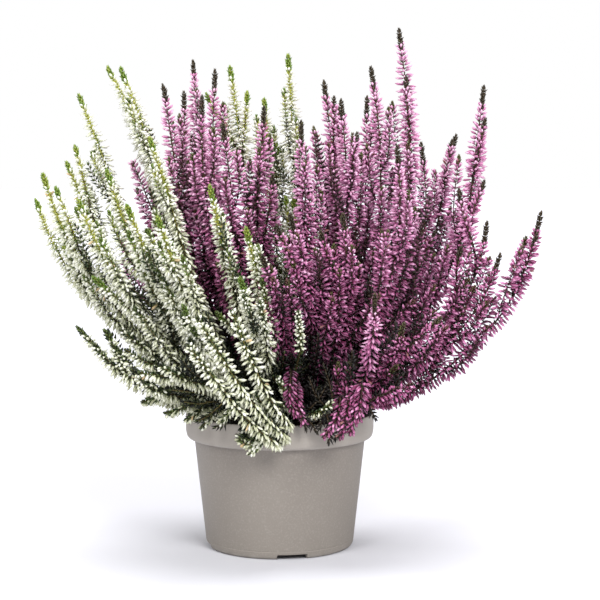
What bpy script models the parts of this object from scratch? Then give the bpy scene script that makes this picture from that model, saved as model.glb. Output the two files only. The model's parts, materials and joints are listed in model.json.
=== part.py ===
"""Potted heather: a white and a pink bud-blooming heather growing in one round nursery pot.

The pot holds a root ball of potting mix. Four woody crowns sit in sockets in the mix, two of
the white plant and two of the pink one. Every flowering shoot grows from one crown, as a thin
stem that thickens into a spike of buds and ends in a green growing tip.

Lengths below are in millimetres and MM turns them into metres. The pot stands on Z = 0 with its
axis on Z, and the front of the plant faces -Y.
"""

import math

import bpy
import numpy as np
from mathutils import Matrix

MM = 0.001
GAP = 0.3

# The pot: a thin moulded wall with a rolled collar, a foot with four notches and a raised floor
SEGMENTS = 48
POT_HEIGHT = 85.0
RIM_RADIUS = 60.0
COLLAR_BOTTOM = 69.4
WALL_TOP_RADIUS = 54.4
WALL_FOOT_RADIUS = 47.2
WALL_THICKNESS = 1.4
FOOT_HEIGHT = 4.4
FOOT_OUTER = 44.8
FOOT_INNER = 42.2
FLOOR_THICKNESS = 1.4
NOTCH_COUNT = 4
NOTCH_WIDTH = 18.0
NOTCH_HEIGHT = 2.9
NOTCH_SLOPE = 0.8
NOTCH_TURN = math.radians(-79.6)
DRAIN_COUNT = 6
DRAIN_RADIUS = 4.0
DRAIN_SIDES = 12
DRAIN_RING = 27.0
DRAIN_TURN = math.radians(13)

# The root ball, whose top is a low mound inside the collar
SOIL_CLEARANCE = 0.35
SOIL_EDGE = 76.0
SOIL_TOP = 80.0
SOIL_LUMP = 0.5
MOUND_RINGS = (56.0, 50.0, 42.0, 33.0, 23.0, 12.0)

# The woody crowns: name, place on the mound and radius of the knob
CROWNS = {
    "white_crown_front": (-14.0, -16.0, 10.5),
    "white_crown_back": (9.0, 26.0, 7.5),
    "pink_crown_right": (19.0, -5.0, 10.5),
    "pink_crown_back": (-15.0, 20.0, 9.0),
}
CROWN_SEGMENTS = 16
CROWN_LIFT = 3.5
ROOT_DEPTH = 20.0
SOCKET_GAP = 0.45

# The shoots: a tube of SIDES flats, from a stem to a spike of buds to a growing tip
SIDES = 6
RINGS = 14
STEM_RADIUS = 1.2
THINNEST = 0.8
SPIKE_RADIUS = 4.6
TIP_RADIUS = 1.5
POINT_LENGTH = 3.0
RING_CROWDING = 1.2
BARE_START = 18.0
BARE_END = 52.0
TIP_TAPER = 26.0
FOOT_SPACING = 3.4
LEAD = 9.0

# How shoots are kept clear of each other: rounds of small moves, mostly in depth, so that the
# front view stays as it was measured. The ends of a shoot move less than its middle.
FEET_ROUNDS = 300
LOWEST_FOOT = 0.05
SPREAD_ROUNDS = 160
SPREAD_EASE = (0.45, 1.0, 0.35)
LARGEST_MOVE = 1.5
SETTLING_ROUNDS = 10
SOIL_MARGIN = 1.2

# The front view in which the shoots were measured: 600 units wide and high, seen by an eye
# VIEW_DISTANCE before the pot's axis, VIEW_HEIGHT up, VIEW_ASIDE to the right, tilted down
VIEW_DISTANCE = 1007.0
VIEW_HEIGHT = 232.0
VIEW_ASIDE = 12.9
VIEW_TILT = 0.0749
VIEW_FOCAL = 1591.0
VIEW_CENTRE = 300.0

# Each shoot: the depth of its tip behind the pot's axis, then points from its tip down towards
# its crown, measured across and down the front view. A third number is a point's own depth.
SHOOTS = {
    "white_crown_front": [
        (20, [(36, 201), (52, 240), (80, 286), (130, 334), (190, 382)]),
        (-14, [(43, 175), (58, 218), (82, 262), (118, 310), (178, 365)]),
        (58, [(67, 163), (86, 205), (110, 252), (146, 305), (205, 372)]),
        (70, [(79, 96), (100, 152), (122, 212), (152, 285), (205, 365)]),
        (52, [(108, 68), (134, 118), (158, 185), (182, 260), (222, 350)]),
        (26, [(121, 69), (148, 135), (172, 205), (196, 285), (232, 360)]),
        (-16, [(150, 139), (168, 195), (187, 260), (212, 325), (242, 380)]),
        (4, [(107, 171), (124, 222), (148, 278), (180, 330), (222, 385)]),
        (-44, [(78, 201), (100, 250), (132, 300), (172, 345), (220, 390)]),
        (-62, [(127, 206), (146, 252), (172, 305), (204, 355), (236, 392)]),
        (-24, [(78, 328), (110, 362), (140, 386), (185, 396), (222, 404)]),
        (-72, [(132, 370), (152, 386), (180, 397), (212, 405)]),
        (-40, [(150, 398), (175, 403), (205, 405)]),
        (-44, [(210, 187), (221, 238), (234, 295), (250, 350), (258, 392)]),
        (-66, [(246, 229), (258, 272), (269, 322), (277, 366), (281, 400)]),
        (-90, [(240, 279), (251, 312), (259, 350), (264, 395)]),
        (-100, [(183, 306), (203, 350), (232, 392)]),
        (-80, [(158, 218), (176, 272), (200, 325), (232, 382)]),
        (-70, [(238, 436, -68), (250, 446, -70), (266, 436, -67), (268, 418, -58)]),
    ],
    "white_crown_back": [
        (44, [(230, 68), (238, 125), (246, 190), (258, 290), (276, 370)]),
        (66, [(264, 100), (270, 160), (276, 240), (284, 340)]),
        (52, [(288, 56), (292, 120), (295, 200), (297, 300), (296, 370)]),
    ],
    "pink_crown_back": [
        (34, [(133, 163), (150, 205), (168, 255), (195, 315), (234, 380)]),
        (6, [(163, 86), (170, 150), (182, 225), (205, 300), (240, 375)]),
        (44, [(184, 93), (186, 160), (196, 240), (218, 320), (246, 380)]),
        (70, [(193, 62), (197, 130), (205, 210), (225, 310), (252, 380)]),
        (-8, [(202, 97), (203, 160), (211, 225), (225, 285), (244, 345)]),
        (26, [(215, 71), (213, 140), (218, 215), (232, 300), (254, 375)]),
        (0, [(223, 125), (230, 180), (238, 240), (246, 300), (258, 360)]),
        (10, [(264, 108), (260, 170), (256, 240), (258, 310), (264, 370)]),
        (96, [(150, 190), (166, 240), (192, 300), (228, 370)]),
        (100, [(205, 140), (212, 220), (228, 310), (250, 380)]),
        (88, [(118, 232), (148, 284), (188, 334), (232, 384)]),
    ],
    "pink_crown_right": [
        (-70, [(262, 256), (274, 300), (286, 350), (298, 398)]),
        (-24, [(301, 122), (302, 180), (304, 250), (309, 320), (312, 380)]),
        (20, [(324, 82), (331, 140), (335, 210), (333, 300), (324, 375)]),
        (-8, [(341, 101), (346, 160), (347, 230), (343, 310), (328, 380)]),
        (40, [(367, 98), (366, 160), (364, 230), (353, 310), (332, 380)]),
        (8, [(371, 68), (379, 130), (380, 200), (371, 280), (343, 370)]),
        (16, [(399, 30), (409, 115), (411, 190), (398, 270), (355, 370)]),
        (-34, [(397, 147), (400, 190), (398, 240), (384, 300), (350, 375)]),
        (36, [(421, 144), (426, 200), (420, 255), (395, 315), (350, 385)]),
        (54, [(456, 136), (444, 180), (436, 230), (412, 300), (365, 375)]),
        (12, [(484, 87), (476, 150), (468, 210), (445, 280), (385, 365)]),
        (-14, [(487, 223), (479, 265), (458, 308), (418, 354), (365, 395)]),
        (-34, [(500, 255), (488, 290), (465, 326), (425, 362), (368, 400)]),
        (-42, [(541, 213), (528, 260), (505, 308), (470, 346), (420, 385), (366, 404)]),
        (-88, [(375, 295), (373, 335), (364, 380), (347, 414, -54)]),
        (-52, [(404, 324), (392, 358), (366, 394)]),
        (-58, [(290, 215), (303, 265), (316, 315), (322, 370)]),
        (-44, [(343, 215), (347, 270), (345, 330), (333, 385)]),
        (90, [(338, 118), (340, 200), (332, 290), (318, 370)]),
        (100, [(396, 168), (394, 235), (372, 305), (338, 375)]),
        (84, [(462, 205), (445, 262), (408, 322), (358, 380)]),
    ],
}


def clear_scene():
    for thing in list(bpy.data.objects):
        bpy.data.objects.remove(thing, do_unlink=True)


def make_material(name, colour, roughness):
    material = bpy.data.materials.new(name)
    material.use_nodes = True
    shader = material.node_tree.nodes["Principled BSDF"]
    shader.inputs["Base Color"].default_value = (*colour, 1.0)
    shader.inputs["Roughness"].default_value = roughness
    shader.inputs["Metallic"].default_value = 0.0
    return material


def add_object(name, vertices, faces, material):
    """A new object from vertices in millimetres."""
    mesh = bpy.data.meshes.new(name)
    mesh.from_pydata((np.asarray(vertices) * MM).tolist(), [], faces)
    mesh.validate()
    thing = bpy.data.objects.new(name, mesh)
    bpy.context.scene.collection.objects.link(thing)
    if material:
        mesh.materials.append(material)
    return thing


def smooth_below(thing, degrees):
    thing.data.shade_smooth()
    thing.data.set_sharp_from_angle(angle=math.radians(degrees))


def turn_profile(profile, segments):
    """Turn (radius, height) points about Z. A point on the axis stays a single point."""
    vertices = []
    rings = []
    for radius, height in profile:
        if radius < 1e-6:
            rings.append([len(vertices)])
            vertices.append((0.0, 0.0, height))
            continue
        rings.append(list(range(len(vertices), len(vertices) + segments)))
        for step in range(segments):
            angle = 2 * math.pi * step / segments
            vertices.append((radius * math.cos(angle), radius * math.sin(angle), height))
    faces = []
    for lower, upper in zip(rings, rings[1:]):
        for step in range(segments):
            after = (step + 1) % segments
            corners = [lower[step % len(lower)], lower[after % len(lower)],
                       upper[after % len(upper)], upper[step % len(upper)]]
            faces.append(list(dict.fromkeys(corners)))
    return np.array(vertices), faces


def cut(thing, cutter):
    """Take the cutter's shape out of the object, and keep the cutter as a hidden guide."""
    cutter.display_type = "WIRE"
    cutter.hide_render = True
    boolean = thing.modifiers.new("cut " + cutter.name, "BOOLEAN")
    boolean.operation = "DIFFERENCE"
    boolean.solver = "EXACT"
    boolean.object = cutter


def pot_outline():
    """The pot's section, from the middle of its underside round the wall to the inner floor."""
    rim, top = RIM_RADIUS, POT_HEIGHT
    floor_top = FOOT_HEIGHT + FLOOR_THICKNESS
    return [
        (0.0, FOOT_HEIGHT),
        (FOOT_INNER, FOOT_HEIGHT),
        (FOOT_INNER, 0.0),
        (FOOT_OUTER, 0.0),
        (FOOT_OUTER + 1.4, 0.6),
        (WALL_FOOT_RADIUS - 0.2, 2.2),
        (WALL_FOOT_RADIUS + 0.1, 4.6),
        (WALL_FOOT_RADIUS + 0.1, 5.2),
        (WALL_TOP_RADIUS, COLLAR_BOTTOM),
        (rim - 2.6, COLLAR_BOTTOM),
        (rim - 1.0, COLLAR_BOTTOM + 0.8),
        (rim - 0.2, COLLAR_BOTTOM + 2.6),
        (rim, COLLAR_BOTTOM + 4.6),
        (rim, top - 1.6),
        (rim - 0.4, top - 0.5),
        (rim - 1.1, top),
        (rim - 1.7, top - 0.6),
        (rim - WALL_THICKNESS - 0.4, COLLAR_BOTTOM + 3.6),
        (rim - WALL_THICKNESS - 1.2, COLLAR_BOTTOM + 2.4),
        (WALL_TOP_RADIUS - 0.6, COLLAR_BOTTOM + 1.6),
        (WALL_TOP_RADIUS - WALL_THICKNESS, COLLAR_BOTTOM + 0.6),
        (WALL_FOOT_RADIUS - WALL_THICKNESS, floor_top + 1.2),
        (WALL_FOOT_RADIUS - WALL_THICKNESS - 1.2, floor_top),
        (0.0, floor_top),
    ]


def add_pot(material):
    vertices, faces = turn_profile(pot_outline(), SEGMENTS)
    pot = add_object("pot", vertices, faces, material)
    for index in range(NOTCH_COUNT):
        angle = NOTCH_TURN + 2 * math.pi * index / NOTCH_COUNT
        cut(pot, add_notch(f"notch_guide_{index + 1}", angle))
    for index in range(DRAIN_COUNT):
        angle = DRAIN_TURN + 2 * math.pi * index / DRAIN_COUNT
        cut(pot, add_drain(f"drain_guide_{index + 1}", angle))
    smooth_below(pot, 40)
    return pot


def add_notch(name, angle):
    """A guide block through the foot, a little wider at the bottom than at the top."""
    half, low, high = NOTCH_WIDTH / 2, -1.0, NOTCH_HEIGHT
    near, far = FOOT_INNER - 3.0, WALL_FOOT_RADIUS + 3.0
    section = [(-half - NOTCH_SLOPE, low), (half + NOTCH_SLOPE, low), (half, high), (-half, high)]
    vertices = [(near, across, z) for across, z in section]
    vertices += [(far, across, z) for across, z in section]
    faces = [(0, 3, 2, 1), (4, 5, 6, 7), (0, 1, 5, 4), (1, 2, 6, 5), (2, 3, 7, 6), (3, 0, 4, 7)]
    turned = np.array(vertices) @ np.array(Matrix.Rotation(-angle, 3, "Z"))
    return add_object(name, turned, faces, None)


def add_drain(name, angle):
    """A guide cylinder through the floor."""
    middle = (DRAIN_RING * math.cos(angle), DRAIN_RING * math.sin(angle), 0.0)
    low, high = FOOT_HEIGHT - 2, FOOT_HEIGHT + FLOOR_THICKNESS + 2
    profile = [(0.0, low), (DRAIN_RADIUS, low), (DRAIN_RADIUS, high), (0.0, high)]
    vertices, faces = turn_profile(profile, DRAIN_SIDES)
    return add_object(name, vertices + np.array(middle), faces, None)


def soil_height(radius):
    """The mound's height at a radius, from its edge by the collar to its top."""
    share = np.clip(np.asarray(radius) / (RIM_RADIUS - 4), 0, 1)
    return SOIL_TOP - (SOIL_TOP - SOIL_EDGE - 1) * share ** 2


def soil_outline():
    """The root ball's section: it follows the inside of the pot with a small clearance."""
    away = SOIL_CLEARANCE
    floor_top = FOOT_HEIGHT + FLOOR_THICKNESS
    collar = RIM_RADIUS - WALL_THICKNESS - away
    outline = [
        (0.0, floor_top + away),
        (WALL_FOOT_RADIUS - WALL_THICKNESS - 1.4, floor_top + away),
        (WALL_FOOT_RADIUS - WALL_THICKNESS - away, floor_top + 1.5),
        (WALL_TOP_RADIUS - WALL_THICKNESS - away, COLLAR_BOTTOM + 0.7),
        (WALL_TOP_RADIUS - 0.9, COLLAR_BOTTOM + 2.0),
        (collar - 1.2, COLLAR_BOTTOM + 2.9),
        (collar - 0.5, COLLAR_BOTTOM + 3.8),
        (collar - 0.5, SOIL_EDGE - 0.5),
    ]
    for radius in MOUND_RINGS:
        outline.append((radius, float(soil_height(radius))))
    outline.append((0.0, SOIL_TOP))
    return outline


def add_soil(material):
    outline = soil_outline()
    vertices, faces = turn_profile(outline, SEGMENTS)
    x, y, z = vertices.T
    inside = np.clip((RIM_RADIUS - 6 - np.hypot(x, y)) / 8, 0, 1) * (z > SOIL_EDGE)
    lumps = np.sin(x * 0.31 + 1.0) * np.cos(y * 0.27) + np.sin(x * 0.13 - y * 0.22)
    vertices[:, 2] += SOIL_LUMP * lumps * inside
    return add_object("soil", vertices, faces, material)


def crown_middle(name):
    x, y, _ = CROWNS[name]
    return np.array([x, y, SOIL_TOP - 0.6 + CROWN_LIFT])


def crown_outline(radius, extra):
    """A knob, round above and narrowing below into a tap root."""
    outline = [(0.0, -ROOT_DEPTH - extra), (radius * 0.16 + extra, -ROOT_DEPTH * 0.9 - extra)]
    outline += [(radius * 0.42 + extra, -ROOT_DEPTH * 0.62), (radius * 0.7 + extra, -radius * 0.78)]
    outline.append((radius * 0.93 + extra, -radius * 0.37))
    for step in range(7):
        angle = math.radians(step * 15)
        reach = radius + extra
        outline.append((reach * math.cos(angle) if step < 6 else 0.0, reach * math.sin(angle)))
    return outline[:-1] + [(0.0, radius + extra)]


def add_crown(name, soil, material):
    radius = CROWNS[name][2]
    middle = crown_middle(name)
    vertices, faces = turn_profile(crown_outline(radius, 0.0), CROWN_SEGMENTS)
    crown = add_object(name, vertices + middle, faces, material)
    smooth_below(crown, 60)
    vertices, faces = turn_profile(crown_outline(radius, SOCKET_GAP), CROWN_SEGMENTS)
    cut(soil, add_object(name + "_socket_guide", vertices + middle, faces, None))
    return crown


def seen_at(across, down, depth):
    """The point at a given depth that the front view shows at (across, down)."""
    tilt_cos, tilt_sin = math.cos(VIEW_TILT), math.sin(VIEW_TILT)
    right = (across - VIEW_CENTRE) / VIEW_FOCAL
    rise = (VIEW_CENTRE - down) / VIEW_FOCAL
    away = tilt_cos + rise * tilt_sin
    climb = rise * tilt_cos - tilt_sin
    length = (depth + VIEW_DISTANCE) / away
    return np.array([VIEW_ASIDE + right * length, depth, VIEW_HEIGHT + climb * length])


def in_view(point):
    """Where the front view shows a point: across and down."""
    across, away, rise = point - np.array([VIEW_ASIDE, -VIEW_DISTANCE, VIEW_HEIGHT])
    tilt_cos, tilt_sin = math.cos(VIEW_TILT), math.sin(VIEW_TILT)
    length = away * tilt_cos - rise * tilt_sin
    climb = away * tilt_sin + rise * tilt_cos
    scale = VIEW_FOCAL / length
    return np.array([VIEW_CENTRE + across * scale, VIEW_CENTRE - climb * scale])


def unit(vector):
    return vector / np.linalg.norm(vector, axis=-1, keepdims=True)


def smooth_curve(knots, count=120):
    """A Catmull-Rom curve through the knots, with a chord-length parameter."""
    knots = np.asarray(knots, float)
    before = 2 * knots[0] - knots[1]
    after = 2 * knots[-1] - knots[-2]
    points = np.vstack([before, knots, after])
    times = np.concatenate([[0], np.cumsum(np.linalg.norm(np.diff(points, axis=0), axis=1) ** 0.5)])
    curve = []
    for index in range(1, len(points) - 2):
        p0, p1, p2, p3 = points[index - 1:index + 3]
        t0, t1, t2, t3 = times[index - 1:index + 3]
        t = np.linspace(t1, t2, count, endpoint=False)[:, None]
        a1 = (t1 - t) / (t1 - t0) * p0 + (t - t0) / (t1 - t0) * p1
        a2 = (t2 - t) / (t2 - t1) * p1 + (t - t1) / (t2 - t1) * p2
        a3 = (t3 - t) / (t3 - t2) * p2 + (t - t2) / (t3 - t2) * p3
        b1 = (t2 - t) / (t2 - t0) * a1 + (t - t0) / (t2 - t0) * a2
        b2 = (t3 - t) / (t3 - t1) * a2 + (t - t1) / (t3 - t1) * a3
        curve.append((t2 - t) / (t2 - t1) * b1 + (t - t1) / (t2 - t1) * b2)
    return np.vstack(curve + [knots[-1:]])


def along(curve):
    """The distance of each point of a curve from its start."""
    return np.concatenate([[0], np.cumsum(np.linalg.norm(np.diff(curve, axis=0), axis=1))])


def measured_points(crown, tip_depth, seen):
    """A shoot's measured points in space, from the lowest to the tip."""
    start_depth = CROWNS[crown][1]
    flat = np.array([point[:2] for point in seen[::-1]], float)
    run = along(np.vstack([in_view(crown_middle(crown)), flat]))[1:]
    shares = run / run[-1]
    points = []
    for share, point in zip(shares, seen[::-1]):
        depth = point[2] if len(point) == 3 else start_depth + (tip_depth - start_depth) * share
        points.append(seen_at(point[0], point[1], depth))
    return np.array(points)


def spread_feet(directions, radius):
    """Turn the directions in which shoots leave a crown until their feet stand clear."""
    directions = unit(np.array(directions))
    wanted = FOOT_SPACING / (radius + GAP)
    for _ in range(FEET_ROUNDS):
        apart = directions[:, None] - directions[None]
        distance = np.linalg.norm(apart, axis=2) + 1e-9
        lack = np.clip(wanted - distance, 0, None)
        np.fill_diagonal(lack, 0)
        directions = directions + 0.4 * (apart / distance[..., None] * lack[..., None]).sum(1)
        directions[:, 2] = np.clip(directions[:, 2], LOWEST_FOOT, None)
        directions = unit(directions)
    return directions


def first_paths():
    """The rings' centres of every shoot before they are spread, and each shoot's name."""
    names, paths, crowns = [], [], []
    for crown, shoots in SHOOTS.items():
        middle = crown_middle(crown)
        radius = CROWNS[crown][2]
        measured = [measured_points(crown, depth, seen) for depth, seen in shoots]
        feet = spread_feet([points[0] - middle for points in measured], radius)
        for points, outward in zip(measured, feet):
            foot = middle + outward * (radius + GAP)
            curve = smooth_curve(np.vstack([foot, foot + outward * LEAD, points]))
            run = along(curve)
            shares = np.linspace(0, 1, RINGS) ** RING_CROWDING
            stops = shares * (run[-1] - POINT_LENGTH)
            stops = np.append(stops, run[-1])
            path = np.stack([np.interp(stops, run, curve[:, axis]) for axis in range(3)], axis=1)
            paths.append(path)
            crowns.append(crown)
            kind = crown.split("_")[0]
            names.append(f"{kind}_shoot_{sum(n.startswith(kind) for n in names) + 1:02d}")
    return names, np.array(paths), crowns


def wanted_radii(paths):
    """The radius of each ring: a stem, then a spike of buds, then a narrow tip."""
    steps = np.linalg.norm(np.diff(paths, axis=1), axis=2)
    run = np.concatenate([np.zeros((len(paths), 1)), np.cumsum(steps, axis=1)], axis=1)
    from_tip = run[:, -1:] - run
    grow = np.clip((run - BARE_START) / (BARE_END - BARE_START), 0, 1)
    fade = np.clip(from_tip / TIP_TAPER, 0, 1)
    grow = grow * grow * (3 - 2 * grow)
    fade = fade * fade * (3 - 2 * fade)
    spike = STEM_RADIUS + (SPIKE_RADIUS - STEM_RADIUS) * grow
    return TIP_RADIUS + (spike - TIP_RADIUS) * fade


def closest_shares(a0, a1, b0, b1):
    """How far along segments a and b their closest points lie, row by row."""
    along_a, along_b, between = a1 - a0, b1 - b0, a0 - b0
    aa = (along_a ** 2).sum(1) + 1e-12
    bb = (along_b ** 2).sum(1) + 1e-12
    ab = (along_a * along_b).sum(1)
    ra = (along_a * between).sum(1)
    rb = (along_b * between).sum(1)
    on_a = np.clip((ab * rb - bb * ra) / np.maximum(aa * bb - ab * ab, 1e-9), 0, 1)
    on_b = np.clip((ab * on_a + rb) / bb, 0, 1)
    on_a = np.clip((ab * on_b - ra) / aa, 0, 1)
    return on_a, on_b


def near_pairs(paths, reach):
    """Pairs of stretches of different shoots whose middles are near, as (shoot, ring) indices."""
    count, rings = paths.shape[:2]
    middles = (paths[:, 1:] + paths[:, :-1]).reshape(-1, 3) / 2
    halves = np.linalg.norm(np.diff(paths, axis=1), axis=2).reshape(-1) / 2
    shoot = np.repeat(np.arange(count), rings - 1)
    ring = np.tile(np.arange(rings - 1), count)
    apart = np.linalg.norm(middles[:, None] - middles[None], axis=2)
    near = (apart < halves[:, None] + halves[None] + reach) & (shoot[:, None] < shoot[None])
    a, b = np.nonzero(near)
    return shoot[a], ring[a], shoot[b], ring[b]


def pair_distances(paths, pairs):
    """The closest points and the distance of every near pair of stretches."""
    i, k, j, m = pairs
    on_a, on_b = closest_shares(paths[i, k], paths[i, k + 1], paths[j, m], paths[j, m + 1])
    at_a = paths[i, k] + (paths[i, k + 1] - paths[i, k]) * on_a[:, None]
    at_b = paths[j, m] + (paths[j, m + 1] - paths[j, m]) * on_b[:, None]
    return on_a, on_b, at_a - at_b, np.linalg.norm(at_a - at_b, axis=1)


def outward_from_pot(points):
    """The direction away from the pot's wall and mix, and the distance to them."""
    rho = np.hypot(points[..., 0], points[..., 1])
    radial = points[..., :2] / np.maximum(rho, 1e-6)[..., None]
    to_rho = rho - np.clip(rho, RIM_RADIUS - 4.0, RIM_RADIUS)
    to_height = points[..., 2] - np.clip(points[..., 2], 0, POT_HEIGHT)
    distance = np.hypot(to_rho, to_height)
    safe = np.maximum(distance, 1e-6)
    away = np.concatenate([radial * (to_rho / safe)[..., None], (to_height / safe)[..., None]], -1)
    away[distance < 1e-6] = (0.0, 0.0, 1.0)
    above_mix = points[..., 2] - (soil_height(rho) + SOIL_MARGIN)
    lower = (rho < RIM_RADIUS - 4.0) & (above_mix < distance)
    away[lower] = (0.0, 0.0, 1.0)
    return away, np.where(lower, above_mix, distance)


def spread_shoots(paths, radii):
    """Move the shoots apart, most of all in depth, until their spikes have room."""
    paths = paths.copy()
    first = paths.copy()
    free = np.ones(paths.shape[1])
    free[:3] = (0.0, 0.0, 0.6)
    free[-2:] = 0.8
    for step in range(SPREAD_ROUNDS):
        pairs = near_pairs(paths, 2 * SPIKE_RADIUS + 1)
        i, k, j, m = pairs
        on_a, on_b, apart, distance = pair_distances(paths, pairs)
        room_a = radii[i, k] * (1 - on_a) + radii[i, k + 1] * on_a
        room_b = radii[j, m] * (1 - on_b) + radii[j, m + 1] * on_b
        lack = np.clip(room_a + room_b + 2 * GAP - distance, 0, None)
        push = apart / np.maximum(distance, 0.05)[:, None] * lack[:, None] * 0.5 * SPREAD_EASE
        moves = np.zeros_like(paths)
        np.add.at(moves, (i, k), push * (1 - on_a)[:, None])
        np.add.at(moves, (i, k + 1), push * on_a[:, None])
        np.add.at(moves, (j, m), -push * (1 - on_b)[:, None])
        np.add.at(moves, (j, m + 1), -push * on_b[:, None])
        size = np.linalg.norm(moves, axis=2, keepdims=True)
        moves *= np.minimum(1, LARGEST_MOVE / np.maximum(size, 1e-6))
        away, clear = outward_from_pot(paths)
        moves += away * np.clip(radii + 2 * GAP - clear, 0, LARGEST_MOVE)[..., None]
        shift = paths - first + moves * free[None, :, None]
        if step < SPREAD_ROUNDS - SETTLING_ROUNDS:
            shift[:, 1:-1] = 0.5 * shift[:, 1:-1] + 0.25 * (shift[:, :-2] + shift[:, 2:])
            shift[:, :2] = 0
        paths = first + shift
    return paths


def room_limits(paths, radii, crowns):
    """The largest radius each ring may have and stay clear of everything near it."""
    pairs = near_pairs(paths, 2 * SPIKE_RADIUS + 1)
    i, k, j, m = pairs
    distance = pair_distances(paths, pairs)[3]
    half = np.full((len(paths), paths.shape[1] - 1), SPIKE_RADIUS)
    np.minimum.at(half, (i, k), (distance - GAP) / 2)
    np.minimum.at(half, (j, m), (distance - GAP) / 2)
    for share in np.linspace(0, 1, 9):
        points = paths[:, :-1] * (1 - share) + paths[:, 1:] * share
        half = np.minimum(half, outward_from_pot(points)[1] - GAP)
        for name in CROWNS:
            others = np.array([crown != name for crown in crowns])
            away = np.linalg.norm(points[others] - crown_middle(name), axis=2) - CROWNS[name][2]
            half[others] = np.minimum(half[others], away - GAP)
    limit = np.minimum(np.pad(half, ((0, 0), (1, 0)), constant_values=SPIKE_RADIUS),
                       np.pad(half, ((0, 0), (0, 1)), constant_values=SPIKE_RADIUS))
    return np.maximum(np.minimum(radii, limit), THINNEST)


def ring_frames(path):
    """Two directions across the shoot at every ring, carried along without twisting."""
    ahead = unit(np.vstack([path[1] - path[0], path[2:] - path[:-2]]))
    side = np.cross(ahead[0], (0.0, 1.0, 0.3))
    sides = []
    for direction in ahead:
        side = side - direction * np.dot(side, direction)
        side = side / np.linalg.norm(side)
        sides.append(side)
    sides = np.array(sides)
    return sides, np.cross(ahead, sides)


def add_shoot(name, path, radii, material):
    """A closed tube through the rings, flat at its foot and pointed at its tip."""
    across, over = ring_frames(path)
    turns = 2 * math.pi * np.arange(SIDES) / SIDES
    circle = across[:, None] * np.cos(turns)[None, :, None]
    circle = circle + over[:, None] * np.sin(turns)[None, :, None]
    rings = path[:-1, None] + circle * radii[:-1, None, None]
    vertices = np.vstack([rings.reshape(-1, 3), path[-1:]])
    faces = [list(range(SIDES))[::-1]]
    for ring in range(len(path) - 2):
        for side in range(SIDES):
            after = (side + 1) % SIDES
            low, high = ring * SIDES, (ring + 1) * SIDES
            faces.append([low + side, low + after, high + after, high + side])
    last = (len(path) - 2) * SIDES
    apex = len(vertices) - 1
    for side in range(SIDES):
        faces.append([last + side, last + (side + 1) % SIDES, apex])
    shoot = add_object(name, vertices, faces, material)
    smooth_below(shoot, 70)
    return shoot


def main():
    clear_scene()
    pot_plastic = make_material("pot plastic", (0.36, 0.32, 0.29), 0.6)
    potting_mix = make_material("potting mix", (0.03, 0.02, 0.015), 0.95)
    woody_bark = make_material("woody bark", (0.09, 0.05, 0.03), 0.85)
    buds = {
        "white": make_material("white buds", (0.78, 0.78, 0.66), 0.7),
        "pink": make_material("pink buds", (0.55, 0.13, 0.40), 0.7),
    }
    add_pot(pot_plastic)
    soil = add_soil(potting_mix)
    for crown in CROWNS:
        add_crown(crown, soil, woody_bark)
    names, paths, crowns = first_paths()
    radii = wanted_radii(paths)
    paths = spread_shoots(paths, radii)
    radii = room_limits(paths, radii, crowns)
    for name, path, ring_radii in zip(names, paths, radii):
        add_shoot(name, path, ring_radii, buds[name.split("_")[0]])


main()
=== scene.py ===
import json
import math
import time

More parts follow.
